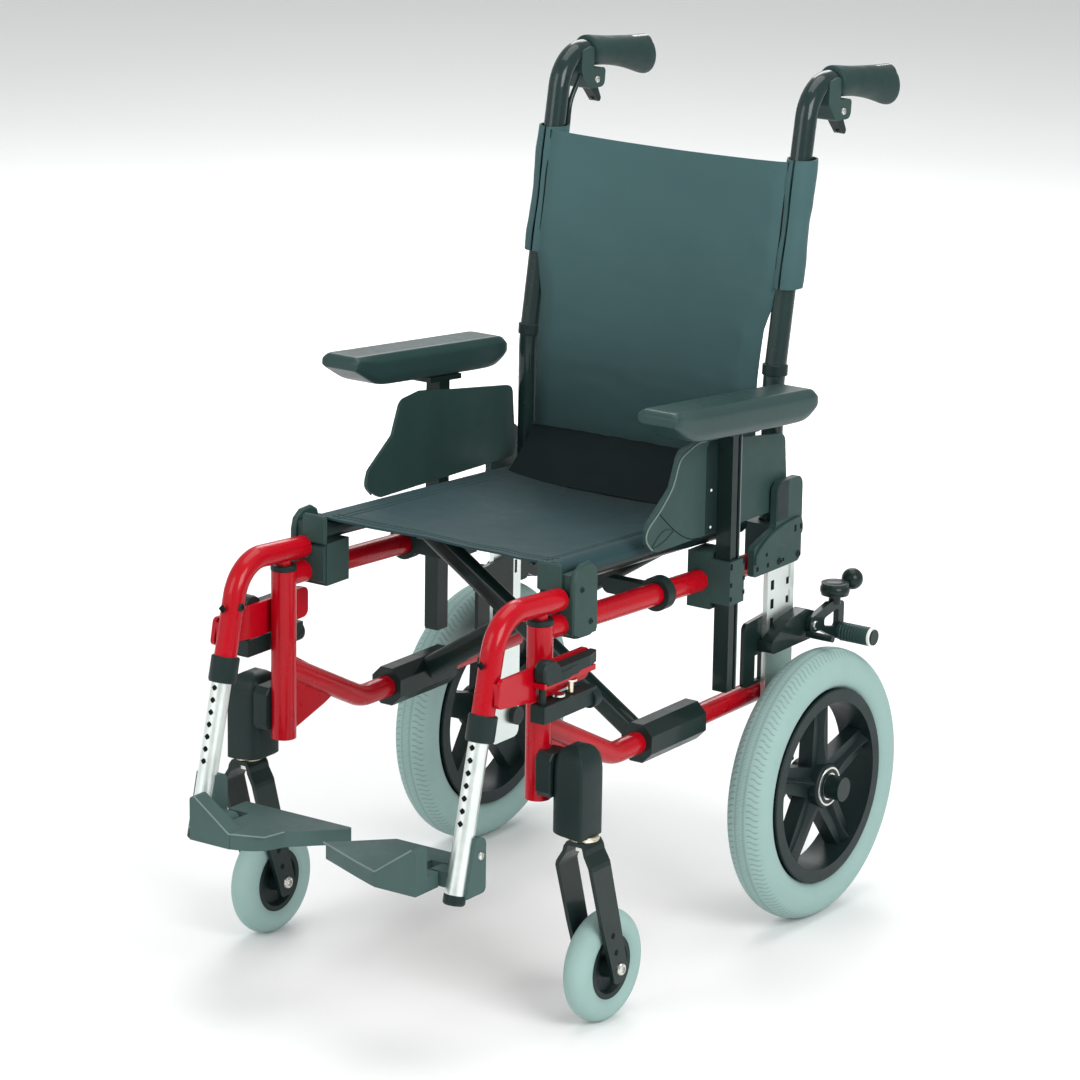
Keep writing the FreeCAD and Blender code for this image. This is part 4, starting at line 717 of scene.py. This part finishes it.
def seat_surface(u, v):
    """The seat cloth: up the outside of one rail, over it, across with a sag, and down the other."""
    wrap = 0.07
    front_cut = 26 * math.sin(math.pi * min(max((u - wrap) / (1 - 2 * wrap), 0), 1)) ** 1.2
    y = SEAT_FRONT_Y + 4 + front_cut * (1 - v) ** 3 + v * (SEAT_REAR_Y - SEAT_FRONT_Y - 6)
    rail = RAIL_FRONT_Z + (RAIL_REAR_Z - RAIL_FRONT_Z) * (y - SEAT_FRONT_Y) / (SEAT_REAR_Y - SEAT_FRONT_Y)
    gap = RAIL_R + 1.9
    if u < wrap or u > 1 - wrap:
        share = min(u, 1 - u) / wrap
        turn = math.radians(2 + 88 * share)
        x = math.copysign(min(RAIL_X + gap * math.cos(turn), SEAT_HALF + 0.5), u - 0.5)
        return at(x, y, rail + gap * math.sin(turn))
    across = (u - wrap) / (1 - 2 * wrap) * 2 - 1
    x = RAIL_X * across
    sag = 9 * (1 - across**2) ** 0.8
    pull = 1.5 * ripple(x, y, 0.012, 3) + 0.9 * ripple(x * 0.5, y, 0.045, 8)
    tension = 0.9 * math.sin(across * 21 + y * 0.02) * abs(across) ** 5
    return at(x, y, rail + gap - sag + (pull + tension) * (1 - across**4))


def cane_line(z):
    """Y of the cane's middle at a height, below the handle bend."""
    over, ease = z - CANE_BEND_Z, 14
    return CANE_FOOT_Y + CANE_LEAN * (over + math.sqrt(over * over + ease * ease)) / 2


def back_surface(u, v):
    """The back cloth between the canes: bowed back in the middle, narrower at the waist."""
    z = BACK_TOP_Z - 3 - v * (BACK_TOP_Z - BACK_FOOT_Z - 12)
    across = u * 2 - 1
    half = CANE_X + 7
    if z <= POCKET_FOOT_Z:
        drop = (POCKET_FOOT_Z - z) / (POCKET_FOOT_Z - BACK_FOOT_Z)
        half -= 21 * min(1, drop * 5) ** 0.5 + 3 * math.sin(math.pi * drop)
    top_dip = 5 * (1 - across**2) * max(0, 1 - v * 6)
    x = half * across
    y = cane_line(z) - CANE_R - 3.2
    bow = 12 * (1 - across**2) ** 0.9 * (0.55 + 0.45 * math.sin(math.pi * min(1, v + 0.15)))
    crease = 0.9 * ripple(x * 0.6, z, 0.02, 11) + 0.5 * ripple(x * 0.3, z, 0.07, 5) * min(1, v * 2)
    pull = 1.1 * math.sin((z + abs(x) * 0.9) * 0.11) * abs(across) ** 6
    turn_back = 11 * max(0, (abs(across) - 0.84) / 0.16) ** 1.6 - 3.5
    return at(x, y + bow + turn_back + (crease + pull) * (1 - across**8), z - top_dip)


def apron_surface(u, v):
    """The loose flap at the foot of the back: it hangs, then lies forward on the seat."""
    across = u * 2 - 1
    turn = math.radians(8 + 78 * min(1, v * 1.35))
    run = 62 * v
    y = cane_line(500) - 22 - run * math.sin(turn) * 0.86 + 6 * (1 - across**2)
    z = 528 - run * 0.92 + 12 * max(0, v - 0.72)
    wave = 1.8 * math.sin(across * 13 + v * 4) * v
    crumple = (2.6 * ripple(across * 9, v * 3, 0.9, 17) + wave) * (1 - v**4)
    return at(146 * across, y + crumple * 0.6, z + crumple * 0.5)


def pocket_surface(s):
    """The sleeve of the back cloth round one cane, as a surface in u round it and v down it."""

    def pocket(u, v):
        turn = 2 * math.pi * u * 0.97 + math.radians(-84)
        z = BACK_TOP_Z - 1 - v * (BACK_TOP_Z - POCKET_FOOT_Z)
        puff = 1 + 0.05 * math.sin(v * 9) + 0.04 * ripple(u * 4, v * 6, 1.3, 2 + s)
        x = s * (CANE_X + 1.2) + s * 16.4 * puff * math.cos(turn)
        return at(x, cane_line(z) + 1.5 + 17.4 * puff * math.sin(turn), z)

    return pocket


def fold_back(made):
    """Gives the back's cloth a mesh of its own."""
    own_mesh(made)


def fold_seat(made):
    """Gives the seat's cloth a mesh of its own."""
    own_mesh(made)


def back_sling():
    """The back cloth with dark lines of painted shade along its creases by the sleeves, the sleeves round the
    canes and the loose flap.
    """
    made = closed_sheet("back_cloth", back_surface, 90, 110, 2.6, LIT_BACK_NYLON, "left_frame", "nylon")
    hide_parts("back_sling")
    fold_back(made)
    in_front = Vector((0, -1.3, 0)) * MM
    for side, s in SIDES:
        name = f"{side}_cane_pocket"
        cover = closed_sheet(name, pocket_surface(s), 44, 40, 1.8, LIT_BACK_NYLON, f"{side}_frame", "nylon")
        # Painted shade: a dark line along the crease where the back cloth turns into each sleeve.
        line = [back_surface(0.5 + s * 0.462, 0.36 * k / 14) + in_front for k in range(15)]
        fold_back(tube(f"{side}_back_crease_shade", line, 0.9, HOLE, "left_frame", "nylon", 8, 3))
    apron = closed_sheet("back_apron", apron_surface, 60, 24, 1.8, APRON_NYLON_AND_SHADE, "left_frame", "nylon")
    fold_back(apron)


def seat_sling():
    """The seat cloth with two hems along its front and two seams beside each rail."""
    made = closed_sheet("seat_cloth", seat_surface, 110, 90, 2.4, SEAT_NYLON, "seat", "nylon")
    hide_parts("seat_sling")
    fold_seat(made)
    on_top = Vector((0, 0, 1.4)) * MM
    steps = [k / 30 for k in range(31)]
    for index, v in enumerate((0.03, 0.055)):
        line = [seat_surface(0.09 + 0.82 * t, v) + on_top for t in steps]
        fold_seat(tube(f"seat_hem_{index}", line, 0.55, THREAD, "seat", "nylon", 8, 3))
    for side, s in SIDES:
        for row, u in enumerate((0.105, 0.122)):
            line = [seat_surface(0.5 - s * (0.5 - u), 0.01 + 0.98 * t) + on_top for t in steps]
            fold_seat(tube(f"{side}_seat_seam_{row}", line, 0.5, THREAD, "seat", "nylon", 8, 3))


def arm_pad(side):
    """A self-skinned foam pad: chamfered flat top, a nose cut back underneath and a sloped tail."""
    low, high = station_box(f"{side}_arm_pad")
    middle, half = (low.x + high.x) / 2, (high.x - low.x) / 2
    section = [(0.35, 1), (0.74, 1), (0.8, 0.985), (0.985, 0.78), (1, 0.72)]
    section += [(1, 0.3), (0.985, 0.2), (0.86, 0.02), (0.8, 0), (0.35, 0)]
    section += [(-x, z) for x, z in reversed(section)]
    stations = (0, 1.5, 5, 10, 18, 28, 44, 80, 140, 200, 250, 270, 282, 289, 293, 295)
    length = stations[-1]
    foot_z, thick, slope = 600, 36.5, 0.089
    points = []
    for along in stations:
        left = length - along
        y = low.y + along * (high.y - low.y) / length
        under = foot_z - (y - ARM_Y) * slope
        foot = under + 21 * max(0, 1 - along / 42) + 15 * max(0, 1 - left / 30) ** 1.4
        crest = under + thick - 7 * max(0, 1 - along / 7) ** 1.6 - 8 * max(0, 1 - left / 12) ** 2
        wide = half * (1 - 0.1 * max(0, 1 - along / 12) ** 2 - 0.12 * max(0, 1 - left / 10) ** 2)
        points += [at(middle + x * wide, y, foot + z * (crest - foot)) for x, z in section]
    faces = loft_faces(len(stations), len(section))
    made = piece(f"{side}_arm_cushion", points, faces, SKIN, f"{side}_armrest", "pad_foam", 60)
    subdivide(made)
    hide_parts(f"{side}_arm_pad")


def push_grip(side, s):
    """The rubber grip: a straight top line, a waist underneath and a tail that droops."""
    # Each station: Y, half width, half height, and how far its middle drops below the top line's slope.
    stations = (
        (99, 17.2, 17.2, 0.0),
        (103, 18.2, 18.2, 0.0),
        (116, 17.6, 17.9, -0.4),
        (135, 16.6, 17.0, -1.0),
        (160, 16.2, 17.8, -2.2),
        (185, 16.4, 19.6, -4.4),
        (205, 16.8, 22.0, -7.0),
        (220, 16.8, 23.6, -9.0),
        (228, 15.2, 21.6, -9.6),
        (231.5, 11.0, 16.5, -9.8),
        (232.2, 5.0, 8.0, -9.8),
    )
    top = station_box(f"{side}_push_grip")[1].z - 17.9
    count = 40
    points = []
    for y, wide, tall, drop in stations:
        level = top - (y - 100) * 0.1 + drop * 0.9
        for j in range(count):
            turn = 2 * math.pi * j / count
            dent = 0.7 * max(0, math.sin(turn * 2 + 0.6)) if 110 < y < 200 else 0
            x = (wide - dent) * math.cos(turn)
            points.append(at(s * CANE_X + x, y, level + (tall - dent) * math.sin(turn)))
    faces = loft_faces(len(stations), count)
    made = piece(f"{side}_rubber_grip", points, faces, RUBBER, f"{side}_frame", "grip_rubber", 60)
    subdivide(made)
    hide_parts(f"{side}_push_grip")


# ---------------------------------------------------------------- small parts


def cane_details(side, s):
    """The cable strip behind the cane, the joint cuff, and the hand brake's ball tip and pivot screws."""
    body = f"{side}_frame"
    line = [at(s * (CANE_X - 9), cane_line(z) + CANE_R + 1, z) for z in (640, 690, 740, 800, 860)]
    line += [at(s * 158, 57, 892), at(s * 157, 72, 916), at(s * 158, 82, 928)]
    tube(f"{side}_cable_strip", line, 3.1, CANE_BLACK, body, "black_plastic", 14, 8)
    cuff_z = 627
    cuff = [(0, 13.2), (1, 14.6), (12, 14.6), (13, 13.2)]
    start = at(s * CANE_X, cane_line(cuff_z), cuff_z)
    turned(f"{side}_cane_cuff", cuff, start, (0, 0.07, 1), PLASTIC, body, "black_plastic", 40)
    low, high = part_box(f"{side}_hand_brake_lever")
    ball = [(-4, 1.4), (-3.2, 3.4), (-1.2, 4.9), (1.2, 4.9), (3.2, 3.4), (4, 1.4)]
    tip = Vector(((low.x + high.x) / 2, high.y - 6.2 * MM, low.z + 5.2 * MM))
    turned(f"{side}_lever_ball", ball, tip, (0, 0, 1), BLACK, f"{side}_hand_brake", "black_paint", 24, 60)
    for way in (-1, 1):
        spot = at(s * CANE_X + way * 13.9, 104, 913)
        screw(f"{side}_hand_pivot_{way + 1}", spot, (way, 0, 0), 4.2, STEEL, body)


def leg_details(side, s):
    """Collar, end cap, rivets, post plug and the row of square holes down the leg."""
    body, leg_body = f"{side}_hanger", f"{side}_leg"
    leg = Vector((0, -0.236, -0.972))
    collar = [(0, 14.6), (1.2, 15.6), (26, 15.6), (28.5, 14.6), (28.5, 11.6)]
    start = at(s * POST_X, -566.2, 371)
    turned(f"{side}_hanger_collar", collar, start, leg, PLASTIC, body, "black_plastic", 40)
    cap = [(0, 10.6), (0.6, 12), (9, 12), (11, 10.4), (11, 4)]
    start = at(s * POST_X, -613.4, 187)
    turned(f"{side}_leg_end_cap", cap, start, leg, PLASTIC, leg_body, "black_plastic", 36)
    rivet = [(-0.6, 5), (0.6, 5), (1.1, 4), (1.1, 3.2), (0.5, 3)]
    start = at(s * POST_X, -571.5, 425)
    turned(f"{side}_hanger_rivet", rivet, start, (0, -1, -0.1), HOLE, body, "black_paint", 4, 20)
    start = at(s * (POST_X - 12.3), -555, 425)
    screw(f"{side}_hanger_rivet_in", start, (-s, 0, 0), 4.5, BLACK, body, "black_paint")
    plug = [(0, 13.4), (0.8, 14.6), (5.5, 14.6), (6.2, 13.6)]
    start = at(s * POST_X, -465, 445)
    turned(f"{side}_post_plug", plug, start, (0, 0, 1), PLASTIC, f"{side}_frame", "black_plastic", 36)
    well = [(0, 3.5), (0.35, 3.5), (0.35, 2.7)]
    for k in range(10):
        level = 262 + 13 * k
        start = at(s * POST_X, -579.15 - (367 - level) * 0.25, level)
        name = f"{side}_leg_hole_{k}"
        turned(name, well, start, (0, -1, 0.25), HOLE, leg_body, "black_plastic", 4, 20)


def footplate_details(side, s):
    """A painted highlight along the footplate's front edge and up its outer wall, and the clamp's screw."""
    tip = -1 if s > 0 else 54
    edge = [Vector(p) for p in ((tip, -614, 208), (60, -640.5, 208), (97, -655, 208), (144, -655, 241))]
    line = []
    for first, last in zip(edge, edge[1:]):
        line += [first, (first + last) / 2]
    line = [at(s * p.x, p.y, p.z) for p in (*line, edge[-1])]
    tube(f"{side}_plate_edge_highlight", line, 0.9, EDGE_HIGHLIGHT, f"{side}_footplate_swing", "black_plastic", 8, 1)
    screw(f"{side}_clamp_screw", at(s * 186, -590, 226), (s, 0, 0), 4.6, STEEL, f"{side}_leg")


def latch_details(side, s):
    """The hanger's release: a paddle in a red tray, its barrel, and a stub with two washers."""
    body, latch_x = f"{side}_latch", s * 199
    paddle = [(-500, 391), (-506, 399), (-506, 410), (-499, 417), (-488, 417), (-480, 410), (-474, 402)]
    paddle += [(-464, 401), (-452, 403), (-442, 402), (-438, 397), (-444, 392), (-470, 390)]
    paddle = smooth_outline(paddle, 5)
    flat_shape(f"{side}_latch_paddle", paddle, latch_x, 15, PLASTIC, body, "black_plastic", 40, 2.2)
    steps = (0, 0.15, 0.35, 0.6, 0.85, 1)
    lip = [at(s * (191 + 14 * math.sin(math.pi * t)), -505 + 100 * t, 391 + 3 * t) for t in steps]
    tube(f"{side}_latch_lip", lip, 1.9, RED, f"{side}_hanger", "red_paint", 10, 6)
    barrel = [(0, 10.5), (1, 11.6), (11, 11.6), (12.5, 10)]
    start = at(latch_x, -416, 357)
    turned(f"{side}_latch_barrel", barrel, start, (0, 1, 0), PLASTIC, body, "black_plastic", 32)
    washer = [(0, 6), (0.5, 7), (2.6, 7), (3.2, 6)]
    for k, (y, z) in enumerate(((-448, 384), (-470, 372.5))):
        turned(f"{side}_latch_washer_{k}", washer, at(latch_x, y, z), (0, 0, 1), STEEL, body, "steel", 28)
    stub = [(0, 3.2), (11, 3.2), (12, 2.4)]
    turned(f"{side}_latch_stub", stub, at(latch_x, -448, 372), (0, 0, 1), BRASSY, body, "steel", 16)


def front_block_details(side, s):
    """Screws and rounded covers on the front seat block, and the cover that rides on the rail's end."""
    body = f"{side}_frame"
    for y, z in ((-415, 474), (-398, 436)):
        screw(f"{side}_block_screw_{-y}", at(s * 189.6, y, z), (s, 0, 0), 3.2, BLACK, body, "black_paint")
    cover = [(-430, 426), (-430, 482), (-426, 494), (-416, 501), (-398, 502)]
    cover += [(-388, 496), (-385, 484), (-385, 424), (-396, 420), (-420, 421)]
    flat_shape(f"{side}_block_cover", cover, s * 186, 7.2, GREY_PLASTIC, body, "black_plastic", bevel=2.2)
    front = [(-430.4, 428), (-430.4, 466), (-425.2, 468), (-425.2, 424)]
    flat_shape(f"{side}_block_front", front, s * 164.5, 43, GREY_PLASTIC, body, "black_plastic", bevel=0.8)
    rail = "brace_b" if s > 0 else "brace_a"
    near, far = sorted((s * 141, s * 172))
    low, high = at(near, -430.4, 469.5), at(far, -424.6, 501.5)
    block(f"{side}_rail_cover", low, high, 2, GREY_PLASTIC, rail, "black_plastic", 2)


def upright_details(side, s):
    """Bolts and marks on the upright, the gusset's skin, and the rear bracket's wing, strip and slots."""
    body = f"{side}_frame"
    bolts = (
        (UPRIGHT_FACE, -30, 150, STEEL),
        (BRACKET_FACE, -36, 423, BLACK),
        (BRACKET_FACE, 4, 423, BLACK),
    )
    for k, (x, y, z, finish) in enumerate(bolts):
        screw(f"{side}_upright_bolt_{k}", at(s * x, y, z), (s, 0, 0), 4, finish, body)
    web = [(-455, 262), (-440, 290), (-425, 304), (-400, 302)]
    web += [(-398, 314), (-452, 345), (-458, 345), (-458, 262)]
    flat_shape(f"{side}_gusset_skin", web, s * POST_X, 9, RED, body, "red_paint", bevel=1.6)
    for k in range(4):
        for column, (y, tall, wide) in enumerate(((-36, 11, 6), (-4, 8, 5))):
            name = f"{side}_upright_mark_{k}_{column}"
            mark(name, y - wide / 2, 322 + 22 * k, wide, tall, s * (UPRIGHT_FACE + 0.1), body, "aluminium")
    wing = [(-89, 430), (-86, 442), (-70, 454), (-40, 464), (0, 468), (8, 462), (9, 450)]
    wing = smooth_outline(wing + [(0, 446), (-40, 441), (-80, 430)], 4)
    flat_shape(f"{side}_bracket_wing", wing, s * 201, 4, GREY_PLASTIC, body, "black_plastic", bevel=1.4)
    strip = [(-44, 470), (-44, 508), (-38, 514), (-20, 514), (-20, 470)]
    flat_shape(f"{side}_bracket_strip", strip, s * 199.4, 2.2, PLASTIC, body, "black_plastic")
    slots = ((-84, 421, 5), (-62, 421, 5), (-30, 421, 4), (-10, 452, 8), (2, 453, 6), (-70, 436, 4))
    for k, (y, z, tall) in enumerate(slots):
        face = BRACKET_FACE + (3 if z > 430 else 0.1)
        mark(f"{side}_bracket_slot_{k}", y, z, 4, tall, s * face, body, "black_plastic")
    holes = ((-157, 441, 7), (-157, 421, 5), (-157, 405, 5), (-131, 443, 7), (-131, 424, 5), (-131, 408, 5))
    for k, (y, z, tall) in enumerate(holes):
        mark(f"{side}_sleeve_hole_{k}", y, z, 4, tall, s * (SLEEVE_FACE + 0.1), body, "black_plastic")


def guard_details(side, s):
    """The guard's front edge in painted highlight, plain oval, arc, recess in painted shade and screws, and
    lines down its post.
    """
    body = f"{side}_armrest"
    face = s * (GUARD_FACE + 0.4)
    # Painted highlight: a pale line along the guard's front edge.
    border = [(-178, 589), (-196, 589), (-218, 583), (-230, 576), (-240, 556)]
    border += [(-248, 545), (-268, 528), (-290, 513), (-293, 500), (-282, 488)]
    border = [at(face, y, z) for y, z in border]
    tube(f"{side}_guard_edge_highlight", border, 1.0, EDGE_HIGHLIGHT, body, "black_plastic", 8, 6)
    lens, half = [], 12
    for k in range(2 * half + 1):
        upper = k <= half
        t = (k if upper else 2 * half - k) / half
        bow = 9 * math.sin(math.pi * t) * (1 if upper else -0.35)
        lens.append(at(face, -283 + 44 * t, 489 + 12 * t + bow))
    tube(f"{side}_guard_lens", lens, 0.55, GREY_PLASTIC, body, "black_plastic", 8, 2)
    skin = s * (GUARD_FACE + 0.1)
    steps = (0, 0.2, 0.4, 0.6, 0.8, 1)
    arc = [at(skin, -270 + 84 * t, 527 - 46 * math.sin(math.pi * t / 2)) for t in steps]
    tube(f"{side}_guard_arc", arc, 0.5, HOLE, body, "black_plastic", 8, 6)
    # Painted shade: a darker plastic sheet over the recess before the post, where shade falls.
    recess = [(-176, 482), (-176, 580), (-170, 586), (-153.5, 586), (-153.5, 482)]
    flat_shape(f"{side}_guard_recess_shade", recess, skin, 0.7, PLASTIC, body, "black_plastic", bevel=0.2)
    for k, z in enumerate((489, 531)):
        screw(f"{side}_guard_screw_{k}", at(s * (GUARD_FACE + 0.3), -166, z), (s, 0, 0), 1.7, WHITE_CAP, body)
    # Down the post: a groove, a raised rib and a light line of painted highlight.
    lines = (
        ("post_groove", -138.6, 2.4, 207.1, 0.6, HOLE, 0.1),
        ("post_rib", -152.5, 2.7, 207.3, 1.2, BLACK, 0.3),
        ("post_highlight", -134.4, 1.2, 207.3, 0.8, EDGE_HIGHLIGHT, 0.2),
    )
    for name, y, wide, x, thick, finish, bevel in lines:
        mark(f"{side}_{name}", y, 300, wide, 294, s * x, body, "black_paint", thick, finish, bevel)


def brake_details(side, s):
    """The brake's ribbed grey sleeve with a pale end ring, mushroom knob, bright rod and pivot screw."""
    body, out = f"{side}_parking_brake", Vector((s, 0, 0))
    start = at(s * 214, 78, 317)
    sleeve = [(0, 8.8), (1, 10), (20, 10.4), (40, 11), (41.5, 10.8), (41.5, 9)]
    turned(f"{side}_brake_sleeve", sleeve, start, out, GREY_PLASTIC, body, "grip_rubber", 32)
    rib = [(0, 10.2), (0.6, 10.9), (1.6, 10.9), (2.2, 10.2)]
    for k in range(9):
        along = out * (4 + 4 * k) * MM
        turned(f"{side}_brake_rib_{k}", rib, start + along, out, GREY_PLASTIC, body, "grip_rubber", 32)
    ring = [(0, 10.4), (0.4, 11.2), (3, 11.2), (3.6, 10.4), (3.6, 7)]
    along = out * sleeve[-1][0] * MM
    turned(f"{side}_brake_ring", ring, start + along, out, WHITE_CAP, body, "grip_rubber", 32)
    cap = [(-1, 9), (0, 14), (2.5, 16.6), (6, 17.4), (9.5, 17), (13, 14.6), (15.4, 10), (16.2, 4)]
    turned(f"{side}_brake_cap", cap, at(s * 211, 70, 361.5), (0, 0, 1), BLACK, body, "black_paint", 40, 60)
    rod = [(0, 3.1), (10, 3.1)]
    turned(f"{side}_brake_rod", rod, at(s * 214, 84, 370.3), (0, 1, 0), STEEL, body, "steel", 20)
    screw(f"{side}_brake_pivot", at(s * 214.6, 22, 337), out, 5.2, STEEL, body)


# ---------------------------------------------------------------- studio and camera


def area_lamp(name, place, size, power, aim=(0, 0, 0.5)):
    """A soft square lamp that looks at a point."""
    data = bpy.data.lights.new(name, "AREA")
    data.size = size
    data.energy = power
    lamp = bpy.data.objects.new(name, data)
    bpy.context.scene.collection.objects.link(lamp)
    lamp.location = place
    lamp.rotation_euler = (Vector(aim) - Vector(place)).to_track_quat("-Z", "Y").to_euler()


def studio():
    """Pale floor and wall in one sweep, with large soft lights."""
    near, depth, wide, radius, tall = -7.0, 3.2, 9.0, 1.6, 6.0
    profile = [(near, 0.0), (depth, 0.0)]
    for k in range(1, 17):
        turn = math.pi / 2 * k / 16
        profile.append((depth + radius * math.sin(turn), radius * (1 - math.cos(turn))))
    profile.append((depth + radius, tall))
    points = [(x, y, z) for y, z in profile for x in (-wide, wide)]
    faces = [(2 * i, 2 * i + 1, 2 * i + 3, 2 * i + 2) for i in range(len(profile) - 1)]
    mesh = bpy.data.meshes.new("studio_sweep")
    mesh.from_pydata(points, [], faces)
    mesh.shade_smooth()
    sweep = bpy.data.objects.new("studio_sweep", mesh)
    bpy.context.scene.collection.objects.link(sweep)
    sweep.rotation_euler.z = math.radians(-CAMERA_AZIMUTH - 180)
    sweep.data.materials.append(studio_floor("studio_white"))
    world = bpy.data.worlds.new("studio")
    world.use_nodes = True
    world.node_tree.nodes["Background"].inputs["Color"].default_value = (0.97, 1.0, 0.99, 1)
    world.node_tree.nodes["Background"].inputs["Strength"].default_value = 0.5
    bpy.context.scene.world = world
    area_lamp("key", (3.3, -1.2, 2.3), 2.0, 95)
    area_lamp("front", (-0.9, -3.6, 2.4), 2.2, 40)
    area_lamp("rim", (-1.6, 2.8, 2.6), 1.8, 40)
    area_lamp("top", (0, 0.5, 3.7), 2.6, 55)
    area_lamp("wall", (-1.6, 2.3, 2.4), 3.0, 75, aim=(-2.8, 4.2, 0.5))


def camera():
    """The view from the chair's front left, a little above."""
    azimuth, rise, roll = (math.radians(angle) for angle in (CAMERA_AZIMUTH, 15.504, 0.862))
    away, aside, above = 5.14325, -0.12649, -0.09093
    back = Vector((math.sin(azimuth) * math.cos(rise), -math.cos(azimuth) * math.cos(rise), math.sin(rise)))
    level = Vector((math.cos(azimuth), math.sin(azimuth), 0))
    upright = back.cross(level)
    right = level * math.cos(roll) + upright * math.sin(roll)
    up = upright * math.cos(roll) - level * math.sin(roll)
    place = Vector((0, AXLE_Y, 0.5)) + back * away + right * aside + up * above
    data = bpy.data.cameras.new("camera")
    data.sensor_width = 36
    data.lens = 149.02
    data.clip_end = 60
    view = bpy.data.objects.new("camera", data)
    bpy.context.scene.collection.objects.link(view)
    turn = Matrix((right, up, back)).transposed().to_4x4()
    view.matrix_world = Matrix.Translation(place) @ turn
    bpy.context.scene.camera = view
    bpy.context.scene.view_settings.view_transform = "Standard"


camera()
studio()
finish_nodes()
seat_sling()
back_sling()
for side, s in SIDES:
    rear_tyre(side)
    wheel_details(side, s)
    castor_details(side, s)
    arm_pad(side)
    push_grip(side, s)
    cane_details(side, s)
    leg_details(side, s)
    footplate_details(side, s)
    latch_details(side, s)
    front_block_details(side, s)
    upright_details(side, s)
    guard_details(side, s)
    brake_details(side, s)
